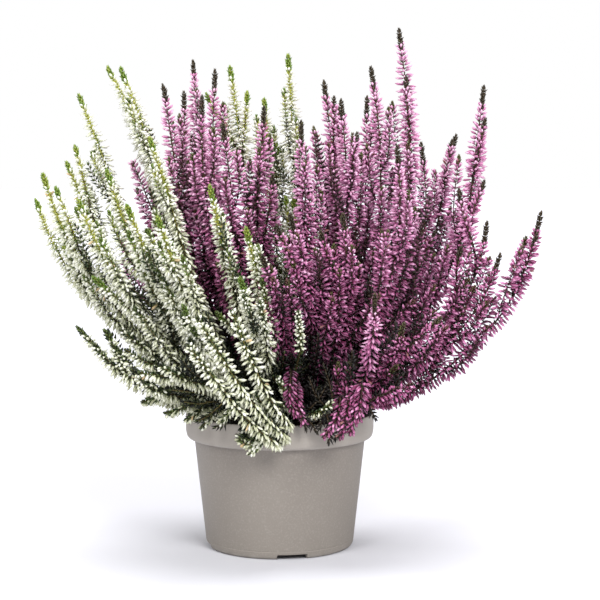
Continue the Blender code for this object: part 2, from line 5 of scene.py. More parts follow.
import bpy
import numpy as np
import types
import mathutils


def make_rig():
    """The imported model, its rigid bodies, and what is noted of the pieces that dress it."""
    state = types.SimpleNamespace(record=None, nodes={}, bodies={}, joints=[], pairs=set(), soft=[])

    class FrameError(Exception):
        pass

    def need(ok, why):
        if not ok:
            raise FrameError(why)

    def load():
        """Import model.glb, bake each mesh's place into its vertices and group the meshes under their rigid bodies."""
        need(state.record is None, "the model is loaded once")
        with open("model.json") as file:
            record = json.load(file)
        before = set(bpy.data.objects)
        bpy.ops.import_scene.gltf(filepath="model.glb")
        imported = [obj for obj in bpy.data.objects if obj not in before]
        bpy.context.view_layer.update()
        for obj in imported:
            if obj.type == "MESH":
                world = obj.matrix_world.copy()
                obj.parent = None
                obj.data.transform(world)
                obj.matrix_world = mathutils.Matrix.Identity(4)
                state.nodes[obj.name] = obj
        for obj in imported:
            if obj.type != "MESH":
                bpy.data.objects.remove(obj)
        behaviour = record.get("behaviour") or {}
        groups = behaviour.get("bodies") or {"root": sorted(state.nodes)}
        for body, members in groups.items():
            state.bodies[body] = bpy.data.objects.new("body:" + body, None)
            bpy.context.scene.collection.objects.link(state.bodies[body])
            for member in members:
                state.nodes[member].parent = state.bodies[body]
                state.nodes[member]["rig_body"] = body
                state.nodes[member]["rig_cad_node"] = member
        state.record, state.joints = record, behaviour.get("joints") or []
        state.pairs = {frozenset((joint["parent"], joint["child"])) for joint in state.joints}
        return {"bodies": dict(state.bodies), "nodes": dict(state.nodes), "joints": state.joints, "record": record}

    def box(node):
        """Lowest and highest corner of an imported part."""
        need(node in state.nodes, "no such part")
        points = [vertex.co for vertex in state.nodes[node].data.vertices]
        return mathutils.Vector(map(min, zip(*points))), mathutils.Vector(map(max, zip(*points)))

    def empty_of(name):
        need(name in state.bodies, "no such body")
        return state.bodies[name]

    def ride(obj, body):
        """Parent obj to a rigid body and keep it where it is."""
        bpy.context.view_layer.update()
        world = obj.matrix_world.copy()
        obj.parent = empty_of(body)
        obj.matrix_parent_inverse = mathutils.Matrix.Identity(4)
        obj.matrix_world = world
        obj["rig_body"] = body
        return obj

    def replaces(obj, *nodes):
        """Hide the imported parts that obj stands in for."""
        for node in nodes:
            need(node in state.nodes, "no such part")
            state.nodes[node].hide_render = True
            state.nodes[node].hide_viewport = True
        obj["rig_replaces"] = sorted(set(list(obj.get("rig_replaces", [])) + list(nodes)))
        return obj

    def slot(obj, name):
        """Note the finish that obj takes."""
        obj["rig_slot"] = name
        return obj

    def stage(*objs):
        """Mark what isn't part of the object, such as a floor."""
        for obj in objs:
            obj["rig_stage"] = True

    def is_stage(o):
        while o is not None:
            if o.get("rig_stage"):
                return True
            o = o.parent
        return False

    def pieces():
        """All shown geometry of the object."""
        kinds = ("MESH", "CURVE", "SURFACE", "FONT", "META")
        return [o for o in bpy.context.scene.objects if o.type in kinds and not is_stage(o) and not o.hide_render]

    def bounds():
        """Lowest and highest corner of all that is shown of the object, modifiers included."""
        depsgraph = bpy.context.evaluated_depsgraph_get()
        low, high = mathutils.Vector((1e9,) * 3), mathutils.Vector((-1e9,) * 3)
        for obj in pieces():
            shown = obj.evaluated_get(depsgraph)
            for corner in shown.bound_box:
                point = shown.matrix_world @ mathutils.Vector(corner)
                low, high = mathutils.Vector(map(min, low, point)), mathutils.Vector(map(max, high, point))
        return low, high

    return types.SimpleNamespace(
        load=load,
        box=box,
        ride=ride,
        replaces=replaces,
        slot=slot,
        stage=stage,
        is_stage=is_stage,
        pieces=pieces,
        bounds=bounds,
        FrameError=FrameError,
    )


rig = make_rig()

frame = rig.load()
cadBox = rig.bounds()
startedAt = time.perf_counter()
mm = 0.001


def report(text):
    # the stage that is done, after the seconds since the start
    print(f"[{time.perf_counter() - startedAt:5.1f} s] {text}")


# The photograph's eye: its place, how far it looks down, and its lens in picture units.
viewer = {
    "place": (0.0129, -1.007, 0.232), "tiltDown": 0.0749, "focal": 1591.0, "frameWidth": 600.0,
    "sensor": 36.0,
}
halfView = viewer["frameWidth"] / 2
tiltCos, tiltSin = math.cos(viewer["tiltDown"]), math.sin(viewer["tiltDown"])


def pointSeenAt(across, down, depth):
    # eye + k (right across + up down + forward), with k set so that the point's y is the depth
    right, rise = (across - halfView) / viewer["focal"], (halfView - down) / viewer["focal"]
    ray = np.array([right, tiltCos + rise * tiltSin, rise * tiltCos - tiltSin])
    start = np.array(viewer["place"])
    return start + ray * (depth - start[1]) / ray[1]


def placeInView(points):
    # (half + focal x / z, half - focal y / z) in the eye's own axes
    across, away, rise = (points - np.array(viewer["place"])).T
    scale = viewer["focal"] / (away * tiltCos - rise * tiltSin)
    tall = away * tiltSin + rise * tiltCos
    return np.stack([halfView + across * scale, halfView - tall * scale], 1)


def unit(rows):
    # each row over its own length
    return rows / np.maximum(np.linalg.norm(rows, axis=-1, keepdims=True), 1e-12)


def upward(z):
    # the vector (0, 0, z)
    return np.array([0, 0, z])


def between(angle, first, second):
    # cos(angle) first + sin(angle) second, row by row
    return np.cos(angle)[:, None] * first + np.sin(angle)[:, None] * second


def squaredUp(way, aim):
    # the way less its part along the aim
    return unit(way - np.sum(way * aim, 1, keepdims=True) * aim)


def ramp(value, start, run):
    # 0 up to the start, 1 from start + run on, and even between
    return np.clip((value - start) / run, 0, 1)


def lengthOf(path):
    # the length run from the path's first point to each point
    return np.concatenate([[0], np.cumsum(np.linalg.norm(np.diff(path, axis=0), axis=1))])


def readAt(table, run, where):
    # the table's rows, read off between the lengths run
    return np.stack([np.interp(where, run, table[:, k]) for k in range(3)], 1)


pathShape = {
    "finePerKnot": 10, "fewest": 4, "step": 5.0 * mm, "crownStep": 6 * mm, "rimStep": 3 * mm,
}


def smoothPath(knots, step=pathShape["step"]):
    # Catmull-Rom through the knots K: half of 2 K1 + (K2 - K0) t + (2 K0 - 5 K1 + 4 K2 - K3) t2
    # + (3 K1 - K0 - 3 K2 + K3) t3, then laid out again in even lengths
    outer = np.vstack([2 * knots[0] - knots[1], knots, 2 * knots[-1] - knots[-2]])
    t = np.linspace(0, len(knots) - 1 - 1e-9, pathShape["finePerKnot"] * len(knots))
    i = t.astype(int)
    f = (t - i)[:, None]
    k0, k1, k2, k3 = (outer[i + j] for j in range(4))
    square, cube = 2 * k0 - 5 * k1 + 4 * k2 - k3, 3 * k1 - k0 - 3 * k2 + k3
    fine = 0.5 * (2 * k1 + (k2 - k0) * f + square * f**2 + cube * f**3)
    run = lengthOf(fine)
    count = max(pathShape["fewest"], int(run[-1] / step) + 1)
    return readAt(fine, run, np.linspace(0, run[-1], count))


def pathFrames(path):
    # along = direction of travel; side = the axis in which the path moves least, squared up to it;
    # up = along x side
    along = unit(np.gradient(path, axis=0))
    flattest = np.linalg.svd(path - path.mean(0))[2][2]
    side = unit(flattest - (along @ flattest)[:, None] * along)
    return along, side, np.cross(along, side)


cadShoot = {"sides": 6, "merge": 0.02 * mm}


def shootSpine(node):
    # the mean of each ring of corners, where ring k is k edges away from the shoot's point; all
    # corners are tried as the point at once, and the one with the most rings is it
    mesh = frame["nodes"][node].data
    mesh.calc_loop_triangles()
    co = np.empty(len(mesh.vertices) * 3, np.float32)
    mesh.vertices.foreach_get("co", co)
    tris = np.empty(len(mesh.loop_triangles) * 3, np.int32)
    mesh.loop_triangles.foreach_get("vertices", tris)
    co = co.reshape(-1, 3)
    first = (np.linalg.norm(co[:, None] - co[None], axis=2) < cadShoot["merge"]).argmax(1)
    kept, same = np.unique(first, return_inverse=True)
    spots = co[kept].astype(float)
    tris = same[tris].reshape(-1, 3)
    joined = np.zeros((len(spots), len(spots)))
    for a, b in ((0, 1), (1, 2), (2, 0)):
        joined[tris[:, a], tris[:, b]] = joined[tris[:, b], tris[:, a]] = 1
    ring = reached = np.eye(len(spots), dtype=bool)
    rings, going = [ring], np.ones(len(spots), bool)
    while going.any():
        longest = going
        ring = (ring @ joined > 0) & ~reached
        reached = reached | ring
        rings.append(ring)
        going = going & (ring.sum(1) == cadShoot["sides"])
    best = [ring[longest.argmax()] for ring in rings]
    return np.array([spots[r].mean(0) for r in best if r.sum() in (1, cadShoot["sides"])])[::-1]


# One square sheet of tints holds every finish of a spike: first row and rows of each kind. A row is
# one tint, and across it runs base to point. The margins keep a bud inside its row.
sheet = {"rows": 32, "bud": (0, 14), "leaf": (14, 10), "stem": (24, 8), "margin": 0.06, "end": 0.01}
shadeLimit = 0.999


def onSheet(kind, along, around, shade):
    # u = along the piece; v = the row of its tint, with the way round it inside the row
    first, rows = sheet[kind]
    row = first + np.clip(np.floor(shade * rows), 0, rows - 1)
    inRow = sheet["margin"] + (1 - 2 * sheet["margin"]) * around
    lengthways = sheet["end"] + (1 - 2 * sheet["end"]) * along
    return np.stack([lengthways, (row + inRow) / sheet["rows"]], -1)


def spindle(sides, heights, widths):
    # closed: rings of the given widths at the given heights between two poles, 0 and 1
    turn = np.arange(sides) * 2 * np.pi / sides
    rings = [
        np.stack([w * np.cos(turn), w * np.sin(turn), np.full(sides, h)], 1)
        for h, w in zip(heights, widths)
    ]
    spots = np.vstack([[[0, 0, 0]], *rings, [[0, 0, 1]]])
    top = 1 + (len(heights) - 1) * sides
    corners, ends, around = [], [], []
    for j in range(sides):
        k = (j + 1) % sides
        corners += [0, 1 + k, 1 + j]
        around += [j + 0.5, j + 1, j]
        for low in range(1, top, sides):
            corners += [low + j, low + k, low + sides + k, low + sides + j]
            around += [j, j + 1, j + 1, j]
        corners += [top + j, top + k, len(spots) - 1]
        around += [j, j + 1, j + 0.5]
        ends += [3] + [4] * (len(heights) - 1) + [3]
    corners = np.array(corners)
    return {
        "spots": spots,
        "corners": corners,
        "ends": np.array(ends),
        "along": spots[corners, 2],
        "around": np.array(around) / sides,
    }


# A bud's and a leaf's forms: sides, then the heights and the half widths of their rings.
forms = {
    "richBud": spindle(4, (0.2, 0.7), (0.74, 1.0)),
    "plainBud": spindle(3, (0.2, 0.7), (0.8, 1.1)),
    "leaf": spindle(3, (0.3,), (1.0,)),
}


def scatter(form, kind, place, way, lean, length, width, shade, curl):
    # spot (x, y, z) goes to place + z length way + width (x lean + y way x lean)
    # + curl z2 length lean
    x, y, z = form["spots"].T
    other = np.cross(way, lean)
    body = place[:, None] + (z[None, :, None] * length[:, None, None]) * way[:, None]
    across = x[None, :, None] * lean[:, None] + y[None, :, None] * other[:, None]
    body = body + width[:, None, None] * across
    body = body + (curl[:, None] * length[:, None] * z[None] ** 2)[:, :, None] * lean[:, None]
    count, spots = len(place), len(form["spots"])
    corners = form["corners"][None] + (np.arange(count) * spots)[:, None]
    along = form["along"][None] + 0 * shade[:, None]
    return {
        "kind": kind,
        "spots": body.reshape(-1, 3),
        "corners": corners.ravel(),
        "ends": np.tile(form["ends"], count),
        "uv": onSheet(kind, along, form["around"][None], shade[:, None]).reshape(-1, 2),
    }


def closedGrid(rows, sides):
    # rings of quads (i, j), (i, j + 1), (i + 1, j + 1), (i + 1, j), and fans to the two poles,
    # whose spots come after the grid's
    i, j = np.meshgrid(np.arange(rows - 1), np.arange(sides), indexing="ij")
    k = (j + 1) % sides
    low, high = i * sides, (i + 1) * sides
    quads = np.stack([low + j, low + k, high + k, high + j], -1).reshape(-1, 4)
    one = np.arange(sides)
    two = (one + 1) % sides
    last = (rows - 1) * sides
    foot = np.stack([np.full(sides, rows * sides), two, one], 1)
    top = np.stack([last + one, last + two, np.full(sides, rows * sides + 1)], 1)
    return i, j, quads, foot, top


def tubeAlong(path, radii, sides, shadeTable):
    # ring i, corner j: path_i + r_i (cos a_j side_i + sin a_j up_i), with a pole at each end
    along, side, up = pathFrames(path)
    turn = np.arange(sides) * 2 * np.pi / sides
    rings = path[:, None] + radii[:, None, None] * (
        np.cos(turn)[None, :, None] * side[:, None] + np.sin(turn)[None, :, None] * up[:, None]
    )
    foot = path[0] - along[0] * radii[0] * stemShape["footBulge"]
    spots = np.vstack([rings.reshape(-1, 3), [foot, path[-1] + along[-1] * radii[-1]]])
    i, j, quads, footFaces, tipFaces = closedGrid(len(path), sides)
    run = lengthOf(path)
    run = run / run[-1]
    lengthways = np.stack([run[i], run[i], run[i + 1], run[i + 1]], -1).ravel()
    lengthways = np.concatenate([lengthways, np.zeros(3 * sides), np.ones(3 * sides)])
    one = np.arange(sides)
    fan = np.stack([one, one + 1, one + 0.5], 1)
    roundways = np.stack([j, j + 1, j + 1, j], -1).ravel()
    roundways = np.concatenate([roundways, fan[:, ::-1].ravel(), fan.ravel()]) / sides
    return {
        "kind": "stem",
        "spots": spots,
        "corners": np.concatenate([quads.ravel(), footFaces.ravel(), tipFaces.ravel()]),
        "ends": np.concatenate([np.full(len(quads), 4), np.full(2 * sides, 3)]),
        "uv": onSheet("stem", lengthways, roundways, np.interp(lengthways, *shadeTable)),
    }


# The plant's bulk for light and shade: half its width and depth, the height of its foot, and how
# far up it is till the light is full and the deep shade ends. Then the least light, and what
# height and reach add.
bulk = {
    "halfWidth": 0.15, "halfDepth": 0.1, "foot": 0.085, "lightRun": 0.2, "shadeRun": 0.125,
    "least": 0.18, "byHeight": 0.6, "byReach": 0.45,
}


def reachOut(points):
    # distance from the plant's middle line over its own half width and depth
    return np.hypot(points[:, 0] / bulk["halfWidth"], points[:, 1] / bulk["halfDepth"])


def insideShade(points):
    # least + height's share + reach's share: 0 deep in the plant and low down, 1 out in the light
    rise = ramp(points[:, 2], bulk["foot"], bulk["lightRun"])
    light = bulk["least"] + bulk["byHeight"] * rise + bulk["byReach"] * reachOut(points)
    return np.clip(light, 0, 1)


def deepInside(points):
    # (1 - reach) x (1 - rise): 1 low down at the middle line, 0 at the outer face and high up
    fall = np.clip(1 - (points[:, 2] - bulk["foot"]) / bulk["shadeRun"], 0, 1)
    return np.clip(1 - reachOut(points), 0, 1) * fall


# What each plant has of its own, first the white and then the pink: sizes, counts and tints.
plantTraits = {
    "budLength": (5.8 * mm, 6.0 * mm),
    "growingTip": (9.0 * mm, 12.5 * mm),
    "tipFull": (1.25, 1.12),
    "upperRun": (30 * mm, 3 * mm),
    "sideSprigs": (5, 6),
    "amongRing": (3, 2),
    "upperShade": (0.97, 0.72),
    "droop": (1.15, 0.55),
    "tipShade": (0.78, 0.95),
    "innerLift": (0.06, 0.2),
    "tipFloor": (0.4, 0.72),
    "youngLift": (0.22, 0.08),
    "highLift": (0.12, 0.2),
    "deepShade": (0.0, 0.6),
    "farShade": (0.0, 0.3),
    "stemTop": (0.95, 0.45),
}
plants = {
    plant: {trait: pair[place] for trait, pair in plantTraits.items()}
    for place, plant in enumerate(("white", "pink"))
}

# The leaves' sets: step down the stem, leaves at a step, length, half width, spread in degrees.
leafSets = {
    "growing": {"step": 1.55 * mm, "ring": 4, "length": 2.6 * mm, "width": 0.84 * mm, "spread": 42},
    "upper": {"step": 1.9 * mm, "ring": 3, "length": 2.6 * mm, "width": 0.74 * mm, "spread": 42},
    "among": {"step": 2.2 * mm, "ring": 2, "length": 2.7 * mm, "width": 0.55 * mm, "spread": 50},
    "leafy": {"step": 1.9 * mm, "ring": 3, "length": 3.1 * mm, "width": 0.56 * mm, "spread": 47},
    "inner": {"step": 2.8 * mm, "ring": 3, "length": 4.2 * mm, "width": 0.85 * mm, "spread": 52},
}
# Pairs are the part a leaf has when shut and the part it gains as it opens.
leafShape = {
    "turnJitter": 0.14, "spreadJitter": 0.1, "tintJitter": 0.06, "lengths": (0.85, 1.15),
    "lengthOpens": (0.7, 0.3), "widthOpens": (0.75, 0.25), "firstOpen": 0.3 * mm,
    "leastOpen": 0.12, "off": 0.25 * mm, "lowGain": 0.5, "gainFrom": (170 * mm, -80 * mm),
}


def growLeaves(line, places, kind, chance, shade, closing=0.0, full=1.0, ring=None):
    # way = cos(spread) along + sin(spread) outward, in rings turned by half a gap; the first ones
    # close up to a point; size = full (1 + gain x how low it is)
    traits, shape = leafSets[kind], leafShape
    ring = ring or traits["ring"]
    below = np.repeat(places, ring)
    count = len(below)
    index, gap = np.arange(count), 2 * np.pi / ring
    turn = index % ring * gap + index // ring * gap / 2
    place, way, out = line(below, turn + chance.normal(0, shape["turnJitter"], count))
    opened = np.ones(count)
    if closing:
        opened = np.clip((below + shape["firstOpen"]) / closing, shape["leastOpen"], 1)
    spread = np.radians(traits["spread"] * opened) + chance.normal(0, shape["spreadJitter"], count)
    aim = unit(between(spread, way, out))
    gain = 0 if kind == "growing" else shape["lowGain"]
    size = full * (1 + gain * ramp(place[:, 2], *shape["gainFrom"]))
    (shut, gained), (shutWide, gainedWide) = shape["lengthOpens"], shape["widthOpens"]
    length = size * traits["length"] * (shut + gained * opened)
    length = length * chance.uniform(*shape["lengths"], count)
    width = size * traits["width"] * (shutWide + gainedWide * opened)
    lean = squaredUp(way, aim)
    tint = shade(below, place) + chance.normal(0, shape["tintJitter"], count)
    tint = np.clip(tint, 0, shadeLimit)
    base = place + out * shape["off"]
    return scatter(forms["leaf"], "leaf", base, aim, lean, length, width, tint, 0 * length)


# Pairs are the part a young bud has and the part it gains with age.
budShape = {
    "inWhorl": 4, "turnJitter": 0.2, "flatDrop": 0.9, "youngRun": 24 * mm, "oldRun": 85 * mm,
    "oldest": 1.2, "spread": (40, 34), "spreadJitter": 8, "droop": (0.6, 0.8),
    "lengthGrows": (0.64, 0.36), "lengths": (0.86, 1.12), "width": 0.92 * mm,
    "widthGrows": (0.9, 0.1), "widthShrinks": (0.2, 60 * mm), "widths": (0.88, 1.1),
    "pedicel": 0.8 * mm, "pedicelGrows": (0.5, 0.5), "curl": (0.04, 0.05),
}
# A bud's tint by its place, with painted light and shade: lighter high up and on lit shoots, darker
# deep inside, low down and at the far right. The runs are where they start, in metres, and how long
# they are.
budLight = {
    "least": 0.12, "byPlace": 0.6, "jitter": 0.19, "highRun": (0.17, 0.05), "farRun": (0.1, 0.05),
    "firstRow": 1.01, "faded": {"share": 0.006, "lowShare": 0.05, "low": 92 * mm},
}


def growBuds(line, below, plant, rich, chance, tipLength, budScale, lift):
    # way = cos(spread) along + sin(spread) outward - droop z; small and close at the top, full and
    # hanging below; where the stem lies flat the buds move to its sides and hang more
    traits, shape, light = plants[plant], budShape, budLight
    count, ring = len(below), shape["inWhorl"]
    index = np.arange(count)
    turn = index % ring * 2 * np.pi / ring + index // ring * np.pi / ring
    place, way, out = line(below, turn + chance.normal(0, shape["turnJitter"], count))
    flat = 1 - np.abs(way[:, 2])
    out[:, 2] -= shape["flatDrop"] * flat
    out = unit(out)
    young = ramp(below, tipLength, shape["youngRun"])
    old = np.clip(below / shape["oldRun"] + shape["flatDrop"] * flat, 0, shape["oldest"])
    shut, opened = shape["spread"]
    spread = np.radians(shut + opened * young + chance.normal(0, shape["spreadJitter"], count))
    aim = between(spread, way, out)
    least, more = shape["droop"]
    aim[:, 2] -= traits["droop"] * old * (least + more * chance.random(count))
    aim = unit(aim)
    least, more = shape["lengthGrows"]
    length = budScale * traits["budLength"] * (least + more * young)
    length = length * chance.uniform(*shape["lengths"], count)
    (least, more), (less, lessRun) = shape["widthGrows"], shape["widthShrinks"]
    width = shape["width"] * (least + more * young - less * np.clip(below / lessRun, 0, 1))
    width = width * chance.uniform(*shape["widths"], count)
    lean = squaredUp(way, aim)
    least, more = shape["pedicelGrows"]
    base = place + out * (shape["pedicel"] * (least + more * young))[:, None]
    # painted light and shade: lifted on lit shoots, high up and out in the light, lowered deep inside, low down and at
    # the far right; the young buds' lift is their own colour
    high = lift + traits["highLift"] * ramp(base[:, 2], *light["highRun"])
    deep = traits["deepShade"] * deepInside(base)
    deep = deep + traits["farShade"] * ramp(base[:, 0], *light["farRun"])
    tint = light["least"] + light["byPlace"] * insideShade(base) + traits["youngLift"] * (1 - old)
    tint = tint + high - deep + chance.normal(0, light["jitter"], count)
    tint = np.clip(tint, light["firstRow"] / sheet["bud"][1], shadeLimit)
    faded = light["faded"]
    share = np.where(base[:, 2] < faded["low"], faded["lowShare"], faded["share"])
    tint[chance.random(count) < share] = 0
    form = forms["richBud" if rich else "plainBud"]
    curl = chance.normal(*shape["curl"], count)
    return scatter(form, "bud", base, aim, lean, length, width, tint, curl)


# "main" is a shoot or a sprig seen in the photograph, "side" a sprig that grows by rule.
spikeShape = {
    "whorlStep": {"main": 2.2 * mm, "side": 2.6 * mm}, "whorlJitter": 0.3 * mm,
    "missingBuds": 0.06, "upperShare": {"main": 1, "side": 0.3}, "tipLengths": (0.82, 1.16),
    "longestTip": 0.35, "leastBudded": 12 * mm, "afterBuds": 4 * mm, "firstLeaf": 0.4 * mm,
    "tipOverlap": 1.5 * mm, "tipGap": 2 * mm,
    "ends": {"leaves": 0.97, "buds": 0.98, "upper": 0.9},
    "closing": {"leafy": 4 * mm, "tip": 3 * mm},
}
stemShape = {
    "radius": 0.55 * mm, "tip": 0.25 * mm, "taper": (1.25, 0.7), "footBulge": 0.4,
    "thick": {"main": 1.5, "side": 0.8, "leafy": 0.65}, "sides": {"main": 5, "side": 3},
    "tintPlaces": (0, 0.55, 0.85, 1), "lowTints": (0.05, 0.3), "leafyTop": 0.3,
    "topTint": (0.4, 0.6), "topRun": (0.14, 0.07),
}
# Tints of leaves by their place, with runs as for the buds.
leafTints = {
    "leafyFloor": 0.4, "tipRun": (0.13, 0.06), "leafy": (0.4, 0.6), "upperLow": 0.34,
    "upperRun": (0.15, 0.07), "upperPart": 0.7, "fadeRun": 16 * mm, "highRun": (0.19, 0.07),
    "inner": (0.05, 0.32),
}


def stemLine(path):
    # place, way and outward = cos(turn) side + sin(turn) up, read off at distances below the tip
    run = lengthOf(path)
    along, side, up = pathFrames(path)

    def line(below, turn):
        where = run[-1] - below
        place, way = readAt(path, run, where), unit(readAt(along, run, where))
        return place, way, unit(between(turn, readAt(side, run, where), readAt(up, run, where)))

    return line, run[-1]


def growSpike(
    path, plant, chance, budShare, rich, tipShade, tipLength=None, leafy=None,
    missing=spikeShape["missingBuds"], budScale=1.0, lift=0.0,
):
    # from the point down: growing tip, whorls of buds with leaves among them, and leaves alone, on
    # a stem of radius (taper - share) ^ power; a leafy one has leaves all along
    traits, shape, stem, tints = plants[plant], spikeShape, stemShape, leafTints
    line, whole = stemLine(path)
    sort = "main" if rich else "side"
    tipHeight = path[-1, 2]
    upperRun = traits["upperRun"] * shape["upperShare"][sort]
    tipFloor = tints["leafyFloor"] if leafy else traits["tipFloor"]
    tipShade = tipShade * (tipFloor + (1 - tipFloor) * ramp(tipHeight, *tints["tipRun"]))
    if tipLength is None:
        tipLength = traits["growingTip"] * chance.uniform(*shape["tipLengths"])
    tipLength = min(tipLength, whole * shape["longestTip"])
    leavesEnd = whole * shape["ends"]["leaves"]

    def innerTint(below, place):
        # upper leaves are lit through where the tip is high, and dark as the rest where it is low
        fade = ramp(below - tipLength, upperRun * tints["upperPart"], tints["fadeRun"])
        upper = traits["upperShade"] - tints["upperLow"]
        upper = tints["upperLow"] + upper * ramp(tipHeight, *tints["upperRun"])
        # painted light and shade: lighter high up, and darker deep inside and low down
        high = ramp(place[:, 2], *tints["highRun"]) * traits["innerLift"]
        least, more = tints["inner"]
        return upper * (1 - fade) + (least + more * insideShade(place) + high) * fade

    def leafyTint(below, place):
        # the tip's tint x (least + more x light)
        least, more = tints["leafy"]
        return tipShade * (least + more * insideShade(place))

    def leaves(kind, start, end, *rest, **more):
        # a ring of the set's leaves at every step from start to end
        places = np.arange(start, end, leafSets[kind]["step"])
        return growLeaves(line, places, kind, chance, *rest, **more)

    if leafy:
        closing = shape["closing"]["leafy"]
        parts = [leaves(leafy, shape["firstLeaf"], leavesEnd, leafyTint, closing)]
    else:
        budsEnd = max(whole * budShare, tipLength + shape["leastBudded"])
        below = np.arange(tipLength, budsEnd, shape["whorlStep"][sort])
        below = np.repeat(below, budShape["inWhorl"])
        below = below + chance.normal(0, shape["whorlJitter"], len(below))
        there = chance.random(len(below)) > missing
        below = below[there & (below < whole * shape["ends"]["buds"])]
        bare = budsEnd + shape["afterBuds"] if rich else whole
        upperStart, upperEnd = tipLength + shape["tipGap"], tipLength + upperRun
        upper = np.arange(upperStart, upperEnd, leafSets["upper"]["step"])
        upper = upper[upper < whole * shape["ends"]["upper"]]
        parts = [
            growBuds(line, below, plant, rich, chance, tipLength, budScale, lift),
            leaves(
                "growing", shape["firstLeaf"], tipLength + shape["tipOverlap"],
                lambda b, p: tipShade + 0 * b, shape["closing"]["tip"], traits["tipFull"],
            ),
            growLeaves(line, upper, "upper", chance, innerTint),
            leaves("among", upperEnd, min(bare, leavesEnd), innerTint, ring=traits["amongRing"]),
            leaves("leafy", bare, leavesEnd, innerTint),
        ]
    taper, power = stem["taper"]
    thick = stem["thick"]["leafy" if leafy and not rich else sort]
    radii = stem["radius"] * (taper - np.linspace(0, 1, len(path))) ** power * thick
    radii = np.clip(radii, stem["tip"], None)
    least, more = stem["topTint"]
    top = traits["stemTop"] * (least + more * ramp(tipHeight, *stem["topRun"]))
    top = stem["leafyTop"] if leafy else top
    table = (stem["tintPlaces"], (*stem["lowTints"], top, top))
    return parts + [tubeAlong(path, radii, stem["sides"][sort], table)]


sprigShape = {"handle": 0.36, "points": 9, "covered": 3}


def sprigPath(start, way, tip, arrive):
    # cubic Bezier from the start, leaving by way, to the tip, arriving by arrive, with handles of a
    # share of the reach
    reach, handle = np.linalg.norm(tip - start), sprigShape["handle"]
    b, c = start + way * reach * handle, tip - arrive * reach * handle
    t = np.linspace(0, 1, sprigShape["points"])[:, None]
    return (1 - t) ** 3 * start + 3 * (1 - t) ** 2 * t * b + 3 * (1 - t) * t**2 * c + t**3 * tip


def newMesh(name, spots, corners, ends):
    # the corners, taken in turn, make faces of as many corners as ends says
    mesh = bpy.data.meshes.new(name)
    mesh.vertices.add(len(spots))
    mesh.vertices.foreach_set("co", spots.astype(np.float32).ravel())
    mesh.loops.add(len(corners))
    mesh.loops.foreach_set("vertex_index", corners.astype(np.int32))
    mesh.polygons.add(len(ends))
    mesh.polygons.foreach_set("loop_start", (np.cumsum(ends) - ends).astype(np.int32))
    mesh.polygons.foreach_set("use_smooth", np.ones(len(ends), bool))
    return mesh


def newObject(name, data):
    # a mesh, lamp or lens as an object of the scene
    thing = bpy.data.objects.new(name, data)
    bpy.context.scene.collection.objects.link(thing)
    return thing


def makePiece(name, parts, materials):
    # all parts in one mesh, each with its kind's material; gives the piece and its triangles
    kinds = list(materials)
    starts = np.cumsum([0] + [len(p["spots"]) for p in parts[:-1]])
    corners = np.concatenate([p["corners"] + s for p, s in zip(parts, starts)])
    ends = np.concatenate([p["ends"] for p in parts])
    uv = np.vstack([p["uv"] for p in parts]).astype(np.float32)
    wears = np.concatenate([np.full(len(p["ends"]), kinds.index(p["kind"])) for p in parts])
    mesh = newMesh(name, np.vstack([p["spots"] for p in parts]), corners, ends)
    mesh.polygons.foreach_set("material_index", wears.astype(np.int32))
    mesh.uv_layers.new(name="OFBake").uv.foreach_set("vector", uv.ravel())
    for kind in kinds:
        mesh.materials.append(materials[kind])
    mesh.update(calc_edges=True)
    thing = newObject(name, mesh)
    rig.ride(thing, "root")
    return thing, int((ends - 2).sum())


def fromScreen(red, green, blue):
    # screen numbers 0..255 to light: ((c + 0.055) / 1.055) ^ 2.4
    c = np.array([red, green, blue]) / 255
    return (*np.where(c <= 0.04045, c / 12.92, ((c + 0.055) / 1.055) ** 2.4), 1.0)


def addNode(tree, kind, inputs=(), **settings):
    # inputs by number or name: a socket is linked, and a value is set
    node = tree.nodes.new("ShaderNode" + kind)
    for key, value in settings.items():
        setattr(node, key, value)
    for key, value in inputs.items() if isinstance(inputs, dict) else enumerate(inputs):
        if isinstance(value, bpy.types.NodeSocket):
            tree.links.new(value, node.inputs[key])
        else:
            node.inputs[key].default_value = value
    return node


def maths(tree, operation, *values):
    # the operation on the values
    return addNode(tree, "Math", values, operation=operation).outputs[0]


def ranged(tree, value, low, high, first, last):
    # first + (last - first) (value - low) / (high - low), and no further
    return addNode(tree, "MapRange", (value, low, high, first, last)).outputs[0]


def stretched(tree, spot, scale):
    # spot x scale, axis by axis
    return addNode(tree, "VectorMath", (spot, scale), operation="MULTIPLY").outputs[0]


def rampColour(tree, value, stops):
    # the colour between the stops (place, colour)
    node = addNode(tree, "ValToRGB", (value,))
    band = node.color_ramp.elements
    while len(band) < len(stops):
        band.new(0.5)
    for element, (place, colour) in zip(band, stops):
        element.position, element.color = place, colour
    return node.outputs[0]


def mixColour(tree, kind, share, first, second):
    # first + share (second - first), or for a multiply first x (1 + share (second - 1))
    inputs = {0: share, 6: first, 7: second}
    return addNode(tree, "Mix", inputs, data_type="RGBA", blend_type=kind).outputs[2]


def layer(tree, colour, mask, share, over):
    # colour + mask x share (over - colour)
    return mixColour(tree, "MIX", maths(tree, "MULTIPLY", mask, share), colour, fromScreen(*over))


def newGroup(name, inputs, outputs):
    # Spot is a vector, and every other socket is a number
    tree = bpy.data.node_groups.new(name, "ShaderNodeTree")
    for way, titles in (("INPUT", inputs), ("OUTPUT", outputs)):
        for title in titles:
            kind = "NodeSocketVector" if title == "Spot" else "NodeSocketFloat"
            tree.interface.new_socket(title, in_out=way, socket_type=kind)
    return tree, tree.nodes.new("NodeGroupInput").outputs, tree.nodes.new("NodeGroupOutput").inputs


